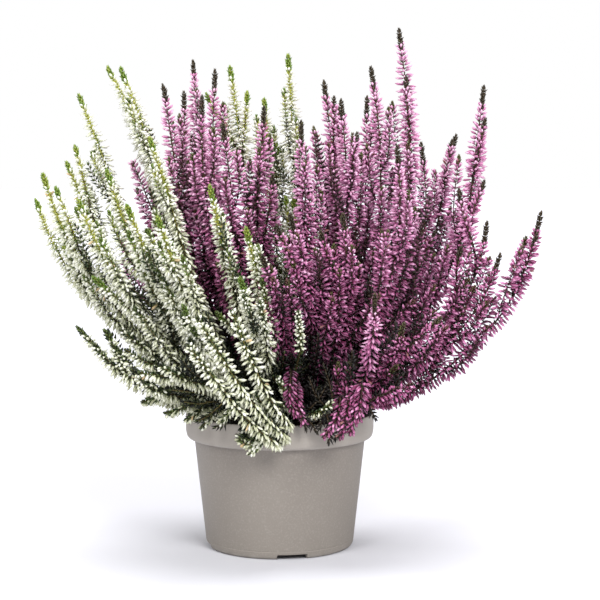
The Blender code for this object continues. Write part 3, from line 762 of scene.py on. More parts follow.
def sheetGroup():
    # along = u; around = the part after the point of rows x v; tint = (row - first) / (rows - 1)
    titles = ["Along", "Around", "Tint", "Spot"]
    tree, given, result = newGroup("tintSheet", ["First Row", "Rows"], titles)
    place = addNode(tree, "UVMap", uv_map="OFBake").outputs[0]
    along, across, _ = addNode(tree, "SeparateXYZ", (place,)).outputs
    lines = maths(tree, "MULTIPLY", across, float(sheet["rows"]))
    around, row = maths(tree, "FRACT", lines), maths(tree, "FLOOR", lines)
    last = maths(tree, "SUBTRACT", given[1], 1.0)
    tint = maths(tree, "DIVIDE", maths(tree, "SUBTRACT", row, given[0]), last)
    spot = addNode(tree, "CombineXYZ", (along, around, row)).outputs[0]
    for number, socket in enumerate((along, around, tint, spot)):
        tree.links.new(socket, result[number])
    return tree


ribShape = {"stretch": (1.0, 0.6, 7.3), "detail": 3.0}


def ribGroup():
    # ribs = cos(2 pi ribs around) in 0..1, flecks = noise stretched along; height = both together
    titles = ["Spot", "Around", "Ribs", "Fleck Size"]
    tree, given, result = newGroup("ribsAndFlecks", titles, ["Ribs", "Flecks", "Height"])
    turn = maths(tree, "MULTIPLY", maths(tree, "MULTIPLY", given[1], given[2]), 2 * math.pi)
    ribs = ranged(tree, maths(tree, "COSINE", turn), -1.0, 1.0, 0.0, 1.0)
    spot = stretched(tree, given[0], ribShape["stretch"])
    noise = {"Vector": spot, "Scale": given[3], "Detail": ribShape["detail"]}
    flecks = addNode(tree, "TexNoise", noise).outputs[0]
    for number, socket in enumerate((ribs, flecks, maths(tree, "ADD", ribs, flecks))):
        tree.links.new(socket, result[number])
    return tree


def grainGroup():
    # mask = noise of the given size, sharpened between low and high; height = the noise itself
    titles = ["Spot", "Size", "Detail", "Low", "High"]
    tree, given, result = newGroup("grain", titles, ["Mask", "Height"])
    noise = {"Vector": given[0], "Scale": given[1], "Detail": given[2]}
    noise = addNode(tree, "TexNoise", noise).outputs[0]
    tree.links.new(ranged(tree, noise, given[3], given[4], 0.0, 1.0), result[0])
    tree.links.new(noise, result[1])
    return tree


sheetReader, ribMaker, grainMaker = sheetGroup(), ribGroup(), grainGroup()


def grain(tree, spot, size, detail, low, high):
    # the grain group's mask and height at the spot
    return addNode(tree, "Group", (spot, size, detail, low, high), node_tree=grainMaker).outputs


def newMaterial(name):
    # a material, its tree and its shader
    material = bpy.data.materials.new(name)
    material.use_nodes = True
    tree = material.node_tree
    return material, tree, tree.nodes["Principled BSDF"]


def wireUp(tree, shader, colour, rough, bump, height, shine):
    # colour and roughness go to the shader, and the height through a bump of strength and distance
    strength, distance = bump
    bumped = {"Strength": strength, "Distance": distance, "Height": height}
    normal = addNode(tree, "Bump", bumped).outputs[0]
    for title, socket in (("Base Color", colour), ("Roughness", rough), ("Normal", normal)):
        tree.links.new(socket, shader.inputs[title])
    shader.inputs["Specular IOR Level"].default_value = shine


# What a kind's finishes share on both plants, and what each plant has of its own.
kindLooks = {
    "bud": {
        "ribs": 4, "fleckSize": 5.0, "rough": (0.45, 0.62), "bump": (0.35, 0.0002), "shine": 0.35,
    },
    "leaf": {
        "ribs": 2, "fleckSize": 7.0, "rough": (0.42, 0.6), "bump": (0.4, 0.0002), "shine": 0.4,
    },
    "stem": {
        "ribs": 3, "ribLift": 0.2, "fleckSize": 24.0, "bump": (0.6, 0.0002), "shine": 0.3,
        "lengthways": [(0.0, (200, 195, 190)), (1.0, (255, 255, 255))],
    },
}
looks = {
    "pink": {
        "bud": {
            "tints": [
                (0.0, (150, 104, 88)), (0.05, (92, 18, 56)), (0.24, (132, 44, 92)),
                (0.42, (182, 98, 144)), (0.7, (227, 156, 197)), (1.0, (253, 212, 234)),
            ],
            # The dark base is partly the bud's calyx and partly painted shade in the gaps between buds.
            "lengthways": [
                (0.0, (92, 32, 66)), (0.28, (200, 156, 184)), (0.7, (255, 255, 255)),
                (1.0, (255, 246, 252)),
            ],
            # The ribs are sepal edges, lifted further as painted highlights.
            "ribLift": 0.32, "ribColour": (244, 210, 238), "fleckDepth": 0.5,
            "fleckColour": (190, 130, 180),
        },
        "leaf": {
            # Dark leaves, with the low and middle stops tinted dark magenta like the shaded buds round them: painted
            # shade.
            "tints": [
                (0.0, (10, 11, 8)), (0.2, (31, 21, 20)), (0.36, (78, 40, 52)),
                (0.58, (100, 64, 58)), (0.68, (86, 96, 44)), (0.76, (80, 82, 42)),
                (0.86, (78, 62, 46)), (1.0, (58, 50, 38)),
            ],
            "lengthways": [
                (0.0, (210, 210, 200)), (0.6, (255, 255, 255)), (1.0, (235, 215, 205)),
            ],
            "ribLift": 0.18, "ribColour": (120, 112, 78), "fleckDepth": 0.6,
            "fleckColour": (170, 160, 140),
        },
        "stem": {
            "tints": [
                (0.0, (40, 28, 22)), (0.3, (72, 56, 38)), (0.6, (104, 86, 54)),
                (1.0, (124, 112, 62)),
            ],
            "rough": (0.6, 0.8), "ribColour": (150, 132, 96), "fleckDepth": 0.8,
            "fleckColour": (130, 112, 92),
        },
    },
    "white": {
        "bud": {
            "tints": [
                (0.0, (208, 180, 136)), (0.05, (156, 158, 124)), (0.35, (210, 212, 184)),
                (0.7, (242, 243, 228)), (1.0, (255, 255, 250)),
            ],
            "lengthways": [
                (0.0, (140, 150, 92)), (0.25, (226, 230, 202)), (0.6, (255, 255, 255)),
                (1.0, (255, 255, 250)),
            ],
            "ribLift": 0.25, "ribColour": (255, 255, 250), "fleckDepth": 0.4,
            "fleckColour": (214, 214, 190),
        },
        "leaf": {
            "tints": [
                (0.0, (9, 13, 6)), (0.2, (22, 32, 15)), (0.36, (48, 66, 32)), (0.5, (82, 96, 40)),
                (0.75, (100, 134, 42)), (0.88, (142, 156, 62)), (1.0, (188, 188, 92)),
            ],
            "lengthways": [
                (0.0, (225, 230, 200)), (0.6, (255, 255, 255)), (1.0, (235, 245, 205)),
            ],
            "ribLift": 0.15, "ribColour": (190, 205, 120), "fleckDepth": 0.5,
            "fleckColour": (190, 200, 150),
        },
        "stem": {
            "tints": [
                (0.0, (44, 34, 24)), (0.3, (86, 72, 40)), (0.6, (142, 134, 60)),
                (1.0, (192, 194, 84)),
            ],
            "rough": (0.55, 0.75), "ribColour": (205, 202, 130), "fleckDepth": 0.6,
            "fleckColour": (170, 156, 104),
        },
    },
}
# Where ribs and flecks begin to show, and where they are full.
ribRun, fleckRun = (0.55, 1.0), (0.3, 0.7)


def sheetMaterial(name, kind, look):
    # colour = tint ramp x length ramp, lifted on the ribs and broken up by flecks; the tint row holds the
    # painted light and shade of the piece's place, and on pink buds the ribs are partly painted highlights
    material, tree, shader = newMaterial(name)
    rows = [float(n) for n in sheet[kind]]
    along, around, tint, spot = addNode(tree, "Group", rows, node_tree=sheetReader).outputs
    given = (spot, around, float(look["ribs"]), look["fleckSize"])
    ribs, flecks, height = addNode(tree, "Group", given, node_tree=ribMaker).outputs
    tint, lengthways = (
        rampColour(tree, value, [(place, fromScreen(*c)) for place, c in look[stops]])
        for value, stops in ((tint, "tints"), (along, "lengthways"))
    )
    colour = mixColour(tree, "MULTIPLY", 1.0, tint, lengthways)
    share = ranged(tree, ribs, *ribRun, 0.0, look["ribLift"])
    colour = mixColour(tree, "MIX", share, colour, fromScreen(*look["ribColour"]))
    share = ranged(tree, flecks, *fleckRun, 0.0, look["fleckDepth"])
    colour = mixColour(tree, "MULTIPLY", share, colour, fromScreen(*look["fleckColour"]))
    rough = ranged(tree, flecks, *fleckRun, *look["rough"])
    wireUp(tree, shader, colour, rough, look["bump"], height, look["shine"])
    return material


finishes = {
    plant: {
        kind: sheetMaterial(plant + kind.capitalize(), kind, {**kindLooks[kind], **own})
        for kind, own in kinds.items()
    }
    for plant, kinds in looks.items()
}
report("materials of the spikes are made")

shootNames = sorted(n for n in frame["nodes"] if "_shoot_" in n)
shootPaths = {n: smoothPath(shootSpine(n)) for n in shootNames}
report(f"{len(shootPaths)} shoot lines read from the frame")

# The plant's outline in the photograph. No side sprig that grows by rule ends outside it.
outline = [
    (184, 420), (150, 408), (124, 384), (96, 352), (74, 326), (96, 318), (70, 286), (50, 252),
    (36, 212), (34, 198), (46, 172), (60, 186), (68, 160), (76, 142), (82, 160), (80, 94),
    (92, 112), (104, 150), (118, 186), (134, 212), (140, 204), (128, 160), (136, 156), (126, 124),
    (112, 118), (106, 68), (124, 66), (140, 100), (152, 136), (162, 130), (160, 86), (172, 100),
    (184, 92), (192, 60), (202, 82), (214, 70), (230, 66), (240, 92), (264, 98), (280, 112),
    (286, 55), (296, 100), (304, 122), (318, 90), (322, 80), (340, 100), (352, 120), (364, 100),
    (370, 66), (382, 98), (392, 90), (400, 30), (412, 76), (422, 140), (440, 150), (456, 134),
    (470, 130), (484, 88), (488, 160), (478, 216), (498, 254), (520, 238), (540, 212), (532, 256),
    (514, 296), (486, 332), (452, 360), (420, 386), (392, 408), (372, 426), (330, 440),
    (286, 436), (256, 456), (238, 430),
]
outlineMiddle = (285, 290)

# Strips of the view where the other plant shows: no such sprig of this plant enters them.
clearStrips = {
    "white": [
        [
            (172, 178), (178, 225), (192, 255), (201, 285), (211, 316), (222, 345), (244, 345),
            (242, 316), (230, 285), (223, 255), (214, 225), (203, 178),
        ],
        [
            (217, 170), (225, 225), (237, 255), (243, 282), (255, 282), (252, 255), (248, 225),
            (250, 170),
        ],
    ],
    "pink": [
        [
            (280, 60), (282, 130), (283, 226), (297, 226), (297, 130), (294, 60),
        ],
    ],
}


def isInside(edge, across, down):
    # even and odd crossings of a line to the right with the closed edge
    u, v = np.array(edge, float).T
    u2, v2 = np.roll(u, -1), np.roll(v, -1)
    spans = (v > down) != (v2 > down)
    meets = u + (down - v) / np.where(spans, v2 - v, 1) * (u2 - u)
    return (spans & (across < meets)).sum() % 2 == 1


def insideOutline(tip, inset):
    # the tip, seen from the eye, and the point that lies the inset further out from the middle
    seen = placeInView(tip[None])[0]
    further = seen + inset * unit(seen - np.array(outlineMiddle))
    return isInside(outline, *seen) and isInside(outline, *further)


def keepsClear(plant, line):
    # the line past its covered points, seen from the eye, stays out of the other plant's strips
    seen = placeInView(line[sprigShape["covered"]:])
    return not any(isInside(strip, *spot) for strip in clearStrips[plant] for spot in seen)


# Side sprigs that grow from every main shoot by rule, seeded, so that the plant is as full behind
# as in front: where they leave, their length, the angles in which they leave and arrive, and how
# far inside the outline they stay. Then what both kinds share.
sideGrowth = {
    "budded": {
        "from": 0.2, "to": 0.7, "length": (36 * mm, 70 * mm), "leave": 38.0, "arrive": 12.0,
        "inset": 0.0,
    },
    "leafy": {
        "from": 0.1, "to": 0.62, "length": (22 * mm, 46 * mm), "leave": 50.0, "arrive": 26.0,
        "inset": 18.0,
    },
    "leafyCount": 3, "shareJitter": 0.04, "turnStep": 2.4, "wholeTurn": 6.28, "wayShare": 0.45,
    "longest": 0.62, "otherTurns": (0.0, 2.1, -2.1, 3.14), "tipRise": 0.08, "arriveOut": 0.1,
    "arriveRise": 0.25,
}


def sideSprigs(kind, path, chance, count, plant):
    # start at a share of the shoot; the tip lies at length (cos arrive course + sin arrive outward)
    # from it, where the course is between the shoot's way here and the line to its tip
    growth, rule = sideGrowth, sideGrowth[kind]
    run = lengthOf(path)
    along, side, up = pathFrames(path)
    jitter = chance.uniform(-growth["shareJitter"], growth["shareJitter"], count)
    shares = np.linspace(rule["from"], rule["to"], count) + jitter
    turns = np.arange(count) * growth["turnStep"] + chance.uniform(0, growth["wholeTurn"])
    leave, arrive = math.radians(rule["leave"]), math.radians(rule["arrive"])
    made = []
    for share, turn in zip(shares, turns):
        where = np.array([share * run[-1]])
        start = readAt(path, run, where)[0]
        way, aside, above = (unit(readAt(table, run, where))[0] for table in (along, side, up))
        course = unit(growth["wayShare"] * way + unit(path[-1] - start))
        left = (1 - share) * run[-1]
        length = min(chance.uniform(*rule["length"]), growth["longest"] * left)
        for extra in growth["otherTurns"]:
            out = math.cos(turn + extra) * aside + math.sin(turn + extra) * above
            tip = start + length * (math.cos(arrive) * course + math.sin(arrive) * out)
            tip = tip + upward(growth["tipRise"] * length)
            first = math.cos(leave) * way + math.sin(leave) * out
            last = unit(course + growth["arriveOut"] * out + upward(growth["arriveRise"]))
            line = sprigPath(start, first, tip, last)
            if insideOutline(tip, rule["inset"]) and keepsClear(plant, line):
                made.append(line)
                break
    return made


# Side sprigs whose tips the photograph shows: the shoot they leave, across, down, and reach in mm.
seenSprigs = {
    "white_shoot_02": [(56, 189, 60)], "white_shoot_03": [(75, 147, 62)],
    "white_shoot_01": [(65, 225, 48), (60, 239, 42)], "white_shoot_09": [(94, 278, 50)],
    "white_shoot_11": [(105, 331, 40), (113, 346, 40)], "white_shoot_15": [(217, 313, 48)],
    "white_shoot_10": [(170, 294, 52)], "white_shoot_17": [(192, 327, 50)],
    "white_shoot_20": [(247, 93, 46), (207, 95, 50)], "white_shoot_21": [(277, 145, 50)],
    "white_shoot_22": [(286, 198, 60), (294, 199, 52)], "pink_shoot_08": [(273, 176, 76)],
    "pink_shoot_13": [(310, 184, 60)], "pink_shoot_28": [(277, 226, 64)],
    "pink_shoot_29": [(321, 232, 60), (333, 262, 50)], "pink_shoot_30": [(316, 148, 50)],
    "pink_shoot_14": [(334, 98, 46), (326, 184, 84)], "pink_shoot_15": [(357, 134, 46)],
    "pink_shoot_16": [(377, 100, 52)], "pink_shoot_18": [(406, 78, 66)],
    "pink_shoot_22": [(485, 120, 40), (484, 182, 56)], "pink_shoot_21": [(452, 141, 50)],
    "pink_shoot_20": [(419, 211, 50), (435, 232, 50)],
    "pink_shoot_23": [(459, 190, 52), (461, 248, 50)], "pink_shoot_25": [(537, 235, 40)],
    "pink_shoot_27": [(397, 366, 30), (440, 318, 46)],
    "pink_shoot_26": [(338, 364, 34), (350, 362, 34)],
}
seenShape = {
    "nearer": (2, 8), "leastBeside": 3, "fallback": 2, "toward": 0.5, "arriveWay": 0.3,
    "arriveRise": 0.12,
}


def seenSprig(path, across, down, reach, chance):
    # the start is the last point of the shoot at least reach away from the tip; the tip takes the
    # depth beside it
    shape = seenShape
    beside = int(np.argmin(np.hypot(*(placeInView(path) - (across, down)).T)))
    tip = pointSeenAt(across, down, path[beside, 1] - chance.uniform(*shape["nearer"]) * mm)
    far = np.linalg.norm(path - tip, axis=1) >= reach * mm
    able = np.flatnonzero(far & (np.arange(len(path)) <= max(beside, shape["leastBeside"])))
    at = int(able[-1]) if len(able) else shape["fallback"]
    start = path[at]
    way = unit(path[min(at + 1, len(path) - 1)] - path[at - 1])
    toward = unit(tip - start)
    last = unit(toward + shape["arriveWay"] * way + upward(shape["arriveRise"]))
    return sprigPath(start, unit(way + shape["toward"] * toward), tip, last)


# Thin shoots low down and alone in front: their side sprigs, and the share of buds that is missing.
sparseShoots = {
    "white_shoot_11": (2, 0.32), "white_shoot_12": (2, 0.32), "white_shoot_13": (3, 0.2),
    "pink_shoot_26": (0, 0.06), "pink_shoot_27": (3, 0.06),
}

# Shoots that stand free in the front light: how much their buds' tint is lifted.
litShoots = {
    "pink_shoot_26": 0.24, "pink_shoot_27": 0.12, "pink_shoot_28": 0.12, "pink_shoot_29": 0.08,
}

# Shoots whose ends are worn off or covered: the length left of the growing tip, and its tint.
wornTips = {
    "pink_shoot_01": (1.0 * mm, 0.6), "white_shoot_12": (4 * mm, 0.3),
    "white_shoot_13": (3 * mm, 0.3), "white_shoot_19": (1.5 * mm, 0.2),
}

# The share of a shoot's length that carries buds, from its tip down.
budShares = {
    "usual": 0.76, "white_shoot_12": 0.94, "white_shoot_13": 0.94, "white_shoot_14": 0.9,
    "white_shoot_15": 0.9, "white_shoot_16": 0.97, "white_shoot_17": 0.97, "white_shoot_18": 0.92,
    "white_shoot_19": 0.97, "pink_shoot_12": 0.95, "pink_shoot_26": 0.97, "pink_shoot_27": 0.95,
    "pink_shoot_28": 0.88, "pink_shoot_29": 0.84,
}

# Seeds, and for each sort of sprig: the share with buds, the tip's length in mm and its tint.
sprigSorts = {
    "seeds": {"shoots": 4000, "crowns": 5000, "rims": 6000},
    "seen": {"budded": 0.9, "tip": (5, 9)},
    "budded": {"budded": 0.92, "tip": (1.5, 5), "tint": 0.7},
    "leafy": {"tint": 0.36},
    "crown": {"budded": 0.84, "tip": 3 * mm, "tint": 0.6},
    "rim": {"budded": 0.94, "scale": 1.0, "tip": 1.5 * mm, "tint": 0.4},
    "rimHalf": {"budded": 0.36, "scale": 0.66},
}


def growShoot(number, name):
    # the shoot's own spike, the sprigs seen on it, and its side sprigs by rule
    chance = np.random.default_rng(sprigSorts["seeds"]["shoots"] + number)
    plant = name.split("_")[0]
    traits, path = plants[plant], shootPaths[name]
    tipShade = traits["tipShade"]
    tipLeft, tipTint = wornTips.get(name, (None, tipShade))
    usual = (traits["sideSprigs"], spikeShape["missingBuds"])
    sprigs, missing = sparseShoots.get(name, usual)
    share, lift = budShares.get(name, budShares["usual"]), litShoots.get(name, 0)
    parts = growSpike(
        path, plant, chance, share, True, tipTint, tipLeft, missing=missing, lift=lift
    )
    seen, budded, leafy = sprigSorts["seen"], sprigSorts["budded"], sprigSorts["leafy"]
    for across, down, reach in seenSprigs.get(name, []):
        line = smoothPath(seenSprig(path, across, down, reach, chance))
        tip = chance.uniform(*seen["tip"]) * mm
        parts += growSpike(line, plant, chance, seen["budded"], True, tipShade, tip)
    for line in sideSprigs("budded", path, chance, sprigs, plant):
        line, tint = smoothPath(line), tipShade * budded["tint"]
        tip = chance.uniform(*budded["tip"]) * mm
        parts += growSpike(line, plant, chance, budded["budded"], False, tint, tip)
    for line in sideSprigs("leafy", path, chance, sideGrowth["leafyCount"], plant):
        line = smoothPath(line)
        parts += growSpike(line, plant, chance, 0, False, leafy["tint"], leafy="inner")
    piece, faces = makePiece(name.replace("shoot", "spike"), parts, finishes[plant])
    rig.replaces(piece, name)
    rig.slot(piece, plant + "_buds")
    return faces


# Short sprigs from each crown, all round, that hide the potting mix, and budded ones behind: how
# many, between which turns and climbs in degrees, and how they leave and arrive.
crownGrowth = {
    "counts": {
        "white_crown_front": 34, "white_crown_back": 24, "pink_crown_right": 36,
        "pink_crown_back": 28,
    },
    "low": {"share": 1.0, "length": (24 * mm, 52 * mm), "climb": (4.0, 50.0), "leaves": "leafy"},
    "tall": {"share": 0.5, "length": (60 * mm, 122 * mm), "climb": (42.0, 84.0), "leaves": "inner"},
    "behind": {
        "white_crown_back": (172, 108, 6), "pink_crown_back": (140, 40, 9),
        "pink_crown_right": (60, 0, 5),
    },
    "behindLength": (66 * mm, 92 * mm), "behindJitter": 6, "behindClimb": (24, 52),
    "behindRise": (0.7, 0.6),
    "ownSide": {"white_crown_front": -1, "white_crown_back": -1, "pink_crown_right": 1},
    "buddedInside": ("pink_crown_right", "pink_crown_back"), "turnStep": 2.39996,
    "turnJitter": 0.2, "rootedAt": 0.9, "tipRise": 0.1, "leaveRise": 0.5, "innerRim": 55 * mm,
    "overRim": 0.092, "inset": 14.0,
}


def climbing(turn, climb):
    # the flat way at a turn, and the way that climbs from it
    flat = np.array([math.cos(turn), math.sin(turn), 0])
    return flat, math.cos(climb) * flat + upward(math.sin(climb))


def crownSprigs(crown, chance):
    # from the crown's skin outward: turn by golden steps, climb by chance between two angles
    growth = crownGrowth
    low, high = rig.box(crown)
    middle = np.array((low + high) / 2)
    radius = (high.x - low.x) / 2
    middle[2] = high.z - radius
    made = []
    wanted = [
        (kind, index)
        for kind in ("low", "tall")
        for index in range(int(growth["counts"][crown] * growth[kind]["share"]))
    ]
    for kind, index in wanted:
        rule, tall = growth[kind], kind == "tall"
        jitter = chance.uniform(-growth["turnJitter"], growth["turnJitter"])
        turn = index * growth["turnStep"] + jitter
        climb = math.radians(chance.uniform(*rule["climb"]))
        flat, way = climbing(turn, climb)
        if tall and crown in growth["ownSide"]:
            flat[0] = abs(flat[0]) * growth["ownSide"][crown]
            way = math.cos(climb) * flat + upward(math.sin(climb))
        start = middle + way * radius * growth["rootedAt"]
        length = chance.uniform(*rule["length"])
        tip = start + length * way
        tip[2] += growth["tipRise"] * length
        reach = math.hypot(tip[0], tip[1])
        if reach > growth["innerRim"] and not tall:
            tip[:2] *= growth["innerRim"] / reach
            tip[2] = max(tip[2], growth["overRim"])
        budded = tall and crown in growth["buddedInside"] and index % 2
        line = sprigPath(start, unit(way + upward(growth["leaveRise"])), tip, unit(way))
        inView = insideOutline(tip, growth["inset"]) and keepsClear(crown.split("_")[0], line)
        if inView or not tall:
            made.append((line, None if budded else rule["leaves"]))
    leaveRise, arriveRise = growth["behindRise"]
    for turn in np.linspace(*growth["behind"].get(crown, (0, 0, 0))):
        # budded ones on the side that the photograph hides, out over the rim and up
        turn = math.radians(turn + chance.uniform(-growth["behindJitter"], growth["behindJitter"]))
        climb = math.radians(chance.uniform(*growth["behindClimb"]))
        flat, way = climbing(turn, climb)
        start = middle + way * radius * growth["rootedAt"]
        tip = start + chance.uniform(*growth["behindLength"]) * way
        first, last = unit(flat + upward(leaveRise)), unit(way + upward(arriveRise))
        made.append((sprigPath(start, first, tip, last), None))
    return made


def growCrownLeaves(number, crown):
    # every sprig of the crown, budded or leafy, in one piece
    chance = np.random.default_rng(sprigSorts["seeds"]["crowns"] + number)
    plant, kind = crown.split("_")[0], sprigSorts["crown"]
    parts = []
    for line, leafy in crownSprigs(crown, chance):
        line = smoothPath(line, pathShape["crownStep"])
        tint = sprigSorts["leafy"]["tint"] if leafy else kind["tint"]
        parts += growSpike(
            line, plant, chance, kind["budded"], False, tint, kind["tip"], leafy=leafy
        )
    piece, faces = makePiece(crown.replace("crown", "leaves"), parts, finishes[plant])
    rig.slot(piece, plant + "_buds")
    return faces


# Sprigs that hang at the rim or fill the plant's foot where the photograph shows them: the shoot
# they leave, the share of its length where they do, their kind, and then across, down and depth in
# mm of points on the way.
rimSprigs = [
    ("white_shoot_13", 0.30, "bud", [(196, 396, -44), (164, 398, -46), (143, 402, -44)]),
    ("white_shoot_13", 0.36, "bud", [(190, 404, -50), (176, 412, -54), (166, 413, -56)]),
    ("white_shoot_12", 0.30, "bud", [(196, 380, -58), (162, 376, -66), (135, 372, -68)]),
    ("white_shoot_12", 0.22, "bud", [(210, 388, -56), (186, 380, -66), (160, 366, -72)]),
    ("white_shoot_16", 0.16, "bud", [(240, 400, -64), (228, 414, -68), (220, 422, -69)]),
    ("white_shoot_17", 0.20, "leaf", [(222, 404, -62), (208, 416, -66), (198, 421, -68)]),
    ("white_shoot_17", 0.12, "leaf", [(232, 410, -62), (224, 424, -66), (216, 427, -68)]),
    ("white_shoot_19", 0.20, "bud", [(262, 410, -62), (276, 424, -68), (284, 438, -69)]),
    ("white_shoot_19", 0.26, "bud", [(256, 414, -62), (266, 430, -69), (276, 446, -70)]),
    ("white_shoot_16", 0.22, "bud", [(258, 396, -62), (268, 412, -66), (272, 424, -68)]),
    ("white_shoot_19", 0.44, "bud", [(262, 438, -69), (256, 448, -70), (250, 453, -70)]),
    ("pink_shoot_12", 0.24, "bud", [(296, 396, -58), (300, 412, -65), (304, 424, -67)]),
    ("pink_shoot_12", 0.34, "bud", [(290, 386, -62), (290, 400, -66), (296, 416, -67)]),
    ("pink_shoot_26", 0.16, "bud", [(340, 398, -58), (336, 420, -68), (324, 436, -70)]),
    ("pink_shoot_26", 0.22, "bud", [(348, 396, -62), (346, 420, -70), (340, 437, -71)]),
    ("pink_shoot_26", 0.30, "bud", [(356, 392, -64), (354, 416, -70), (350, 434, -71)]),
    ("pink_shoot_26", 0.38, "bud", [(362, 384, -68), (360, 404, -71), (358, 420, -71)]),
    ("pink_shoot_27", 0.20, "bud", [(362, 404, -56), (376, 398, -62), (398, 388, -66)]),
    ("pink_shoot_27", 0.30, "bud", [(378, 398, -56), (396, 394, -60), (412, 384, -62)]),
    ("pink_shoot_27", 0.12, "leaf", [(364, 406, -56), (370, 410, -60), (375, 418, -61)]),
    ("pink_shoot_27", 0.18, "bud", [(374, 402, -52), (384, 404, -54), (394, 402, -55)]),
    ("pink_shoot_26", 0.08, "leaf", [(326, 414, -60), (331, 430, -67), (329, 442, -68)]),
    ("pink_shoot_12", 0.14, "leaf", [(302, 412, -58), (306, 422, -66), (306, 428, -67)]),
    ("white_shoot_13", 0.16, "bud", [(206, 406, -46), (196, 414, -54), (186, 420, -58)]),
    ("white_shoot_13", 0.10, "bud", [(218, 410, -52), (210, 418, -60), (202, 427, -62)]),
    ("white_shoot_12", 0.14, "leaf", [(214, 402, -56), (200, 404, -62), (184, 402, -66)]),
    ("white_shoot_12", 0.20, "leaf", [(204, 394, -58), (190, 392, -64), (172, 390, -66)]),
    ("white_shoot_16", 0.10, "bud", [(304, 412, -48), (320, 412, -58), (333, 402, -60)]),
    ("white_shoot_17", 0.04, "bud",
     [(285, 436, -70), (262, 414, -82), (236, 380, -90), (197, 318, -96)]),
    ("white_shoot_16", 0.04, "bud",
     [(278, 442, -71), (250, 422, -82), (220, 386, -90), (188, 346, -94)]),
    ("white_shoot_18", 0.05, "bud",
     [(288, 424, -66), (272, 402, -76), (252, 362, -84), (232, 312, -90)]),
    ("white_shoot_11", 0.50, "bud", [(154, 354, -20), (139, 345, -22), (122, 331, -24)]),
    ("white_shoot_11", 0.40, "bud", [(166, 368, -20), (148, 363, -24), (126, 350, -26)]),
    ("white_shoot_15", 0.30, "half", [(288, 386, -34), (300, 350, -50), (298, 312, -62)]),
    ("pink_shoot_12", 0.10, "leaf", [(304, 416, -56), (312, 424, -62), (316, 431, -63)]),
    ("pink_shoot_26", 0.06, "leaf", [(330, 412, -56), (322, 422, -62), (320, 428, -63)]),
    ("pink_shoot_26", 0.10, "leaf", [(338, 412, -58), (340, 428, -66), (336, 438, -67)]),
    ("pink_shoot_12", 0.05, "leaf", [(306, 410, -50), (318, 400, -54), (326, 386, -54)]),
    ("pink_shoot_26", 0.05, "leaf", [(326, 408, -52), (316, 396, -54), (310, 380, -54)]),
    ("pink_shoot_26", 0.07, "leaf", [(332, 404, -52), (330, 386, -54), (324, 366, -54)]),
    ("white_shoot_16", 0.24, "half", [(270, 404, -60), (288, 402, -60), (278, 378, -62)]),
]


def growRimSprigs(plant):
    # a line from the shoot through the points on the way; a half one has small buds near its tip
    chance = np.random.default_rng(sprigSorts["seeds"]["rims"])
    rim = sprigSorts["rim"]
    parts = []
    for name, share, form, seen in rimSprigs:
        if not name.startswith(plant):
            continue
        path = shootPaths[name]
        way = [path[int(share * (len(path) - 1))]]
        way += [pointSeenAt(u, v, depth * mm) for u, v, depth in seen]
        line = smoothPath(np.array(way), pathShape["rimStep"])
        size = sprigSorts["rimHalf"] if form == "half" else rim
        leafy = "leafy" if form == "leaf" else None
        parts += growSpike(
            line, plant, chance, size["budded"], True, rim["tint"], rim["tip"], leafy=leafy,
            budScale=size["scale"],
        )
    piece, faces = makePiece(plant + "_rim_sprigs", parts, finishes[plant])
    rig.slot(piece, plant + "_buds")
    return faces


total = sum(growShoot(number, name) for number, name in enumerate(shootNames))
report(f"spikes are grown, {total} triangles")
total += sum(growCrownLeaves(*numbered) for numbered in enumerate(crownGrowth["counts"]))
total += sum(growRimSprigs(plant) for plant in plants)
report(f"low leaves and rim sprigs are grown, {total} triangles")

# The profile's corners are reach, height and trim, in mm. Notches and drains are in mm and degrees.
potShape = {
    "profile": [
        (0.0, 4.4, 0), (42.2, 4.4, 0), (42.2, 0.0, 0.3), (44.6, 0.0, 0.6), (46.6, 1.0, 1.6),
        (47.3, 4.6, 0.4), (47.1, 5.0, 0.2), (47.3, 5.4, 0.2), (54.4, 69.4, 0.5),
        (57.4, 69.4, 0.9), (59.0, 70.6, 1.6), (59.8, 74.0, 2.0), (60.0, 83.6, 0.6),
        (59.5, 85.0, 0.7), (58.3, 84.8, 0.5), (58.2, 73.0, 0.8), (53.0, 70.2, 0.8),
        (45.8, 5.8, 1.2), (0.0, 5.8, 0),
    ],
    "mostTrim": 0.48,
    "turns": 144,
    "sharp": 38,
    "cornerSteps": 5,
    "notches": {
        "count": 4, "first": -79.6, "halfAngle": 11.4, "slope": 0.9, "height": 2.9, "reach": 3.4,
        "from": 41, "bulge": 0.12,
    },
    "drains": {
        "count": 6, "radius": 4.0, "ring": 27.0, "first": 13.0, "sides": 28, "heights": (2.0, 8.0),
    },
}
# Grains are size, detail, and the noise's low and high; shares say how much of each shows. The band
# of wear and painted highlight is share of the height and strength: rubbed wear at the foot and rim,
# and a painted highlight line along the collar's lower lip.
potLook = {
    "body": (136, 129, 121), "pale": (152, 146, 138), "dark": (122, 115, 108),
    # The collar colour is painted light: paler to undo the plant's shadow on the collar.
    "edge": (172, 167, 159), "collar": (167, 160, 152),
    "stretch": (1.0, 1.0, 0.35),
    "clouds": (26.0, 3.0, 0.36, 0.66), "cloudShare": 0.32,
    "specks": (900.0, 2.0, 0.5, 0.72), "speckShare": 0.5,
    "pits": (1500.0, 1.0, 0.6, 0.75), "pitShare": 0.35,
    "worn": (160.0, 4.0, 0.32, 0.62), "wornShare": 0.75,
    "collarRun": (0.069, 0.0705), "collarShare": 0.7,
    "height": 0.085,
    # The peak at 0.822 of the height is a painted highlight line on the collar's lower lip; the foot and rim stops are
    # rubbed wear.
    "band": [
        (0.0, 0.7), (0.035, 0.1), (0.06, 0.0), (0.812, 0.0), (0.822, 1.0), (0.836, 0.12),
        (0.97, 0.2), (1.0, 0.8),
    ],
    "rough": (0.52, 0.68), "bump": (0.25, 0.0002), "shine": 0.4,
}


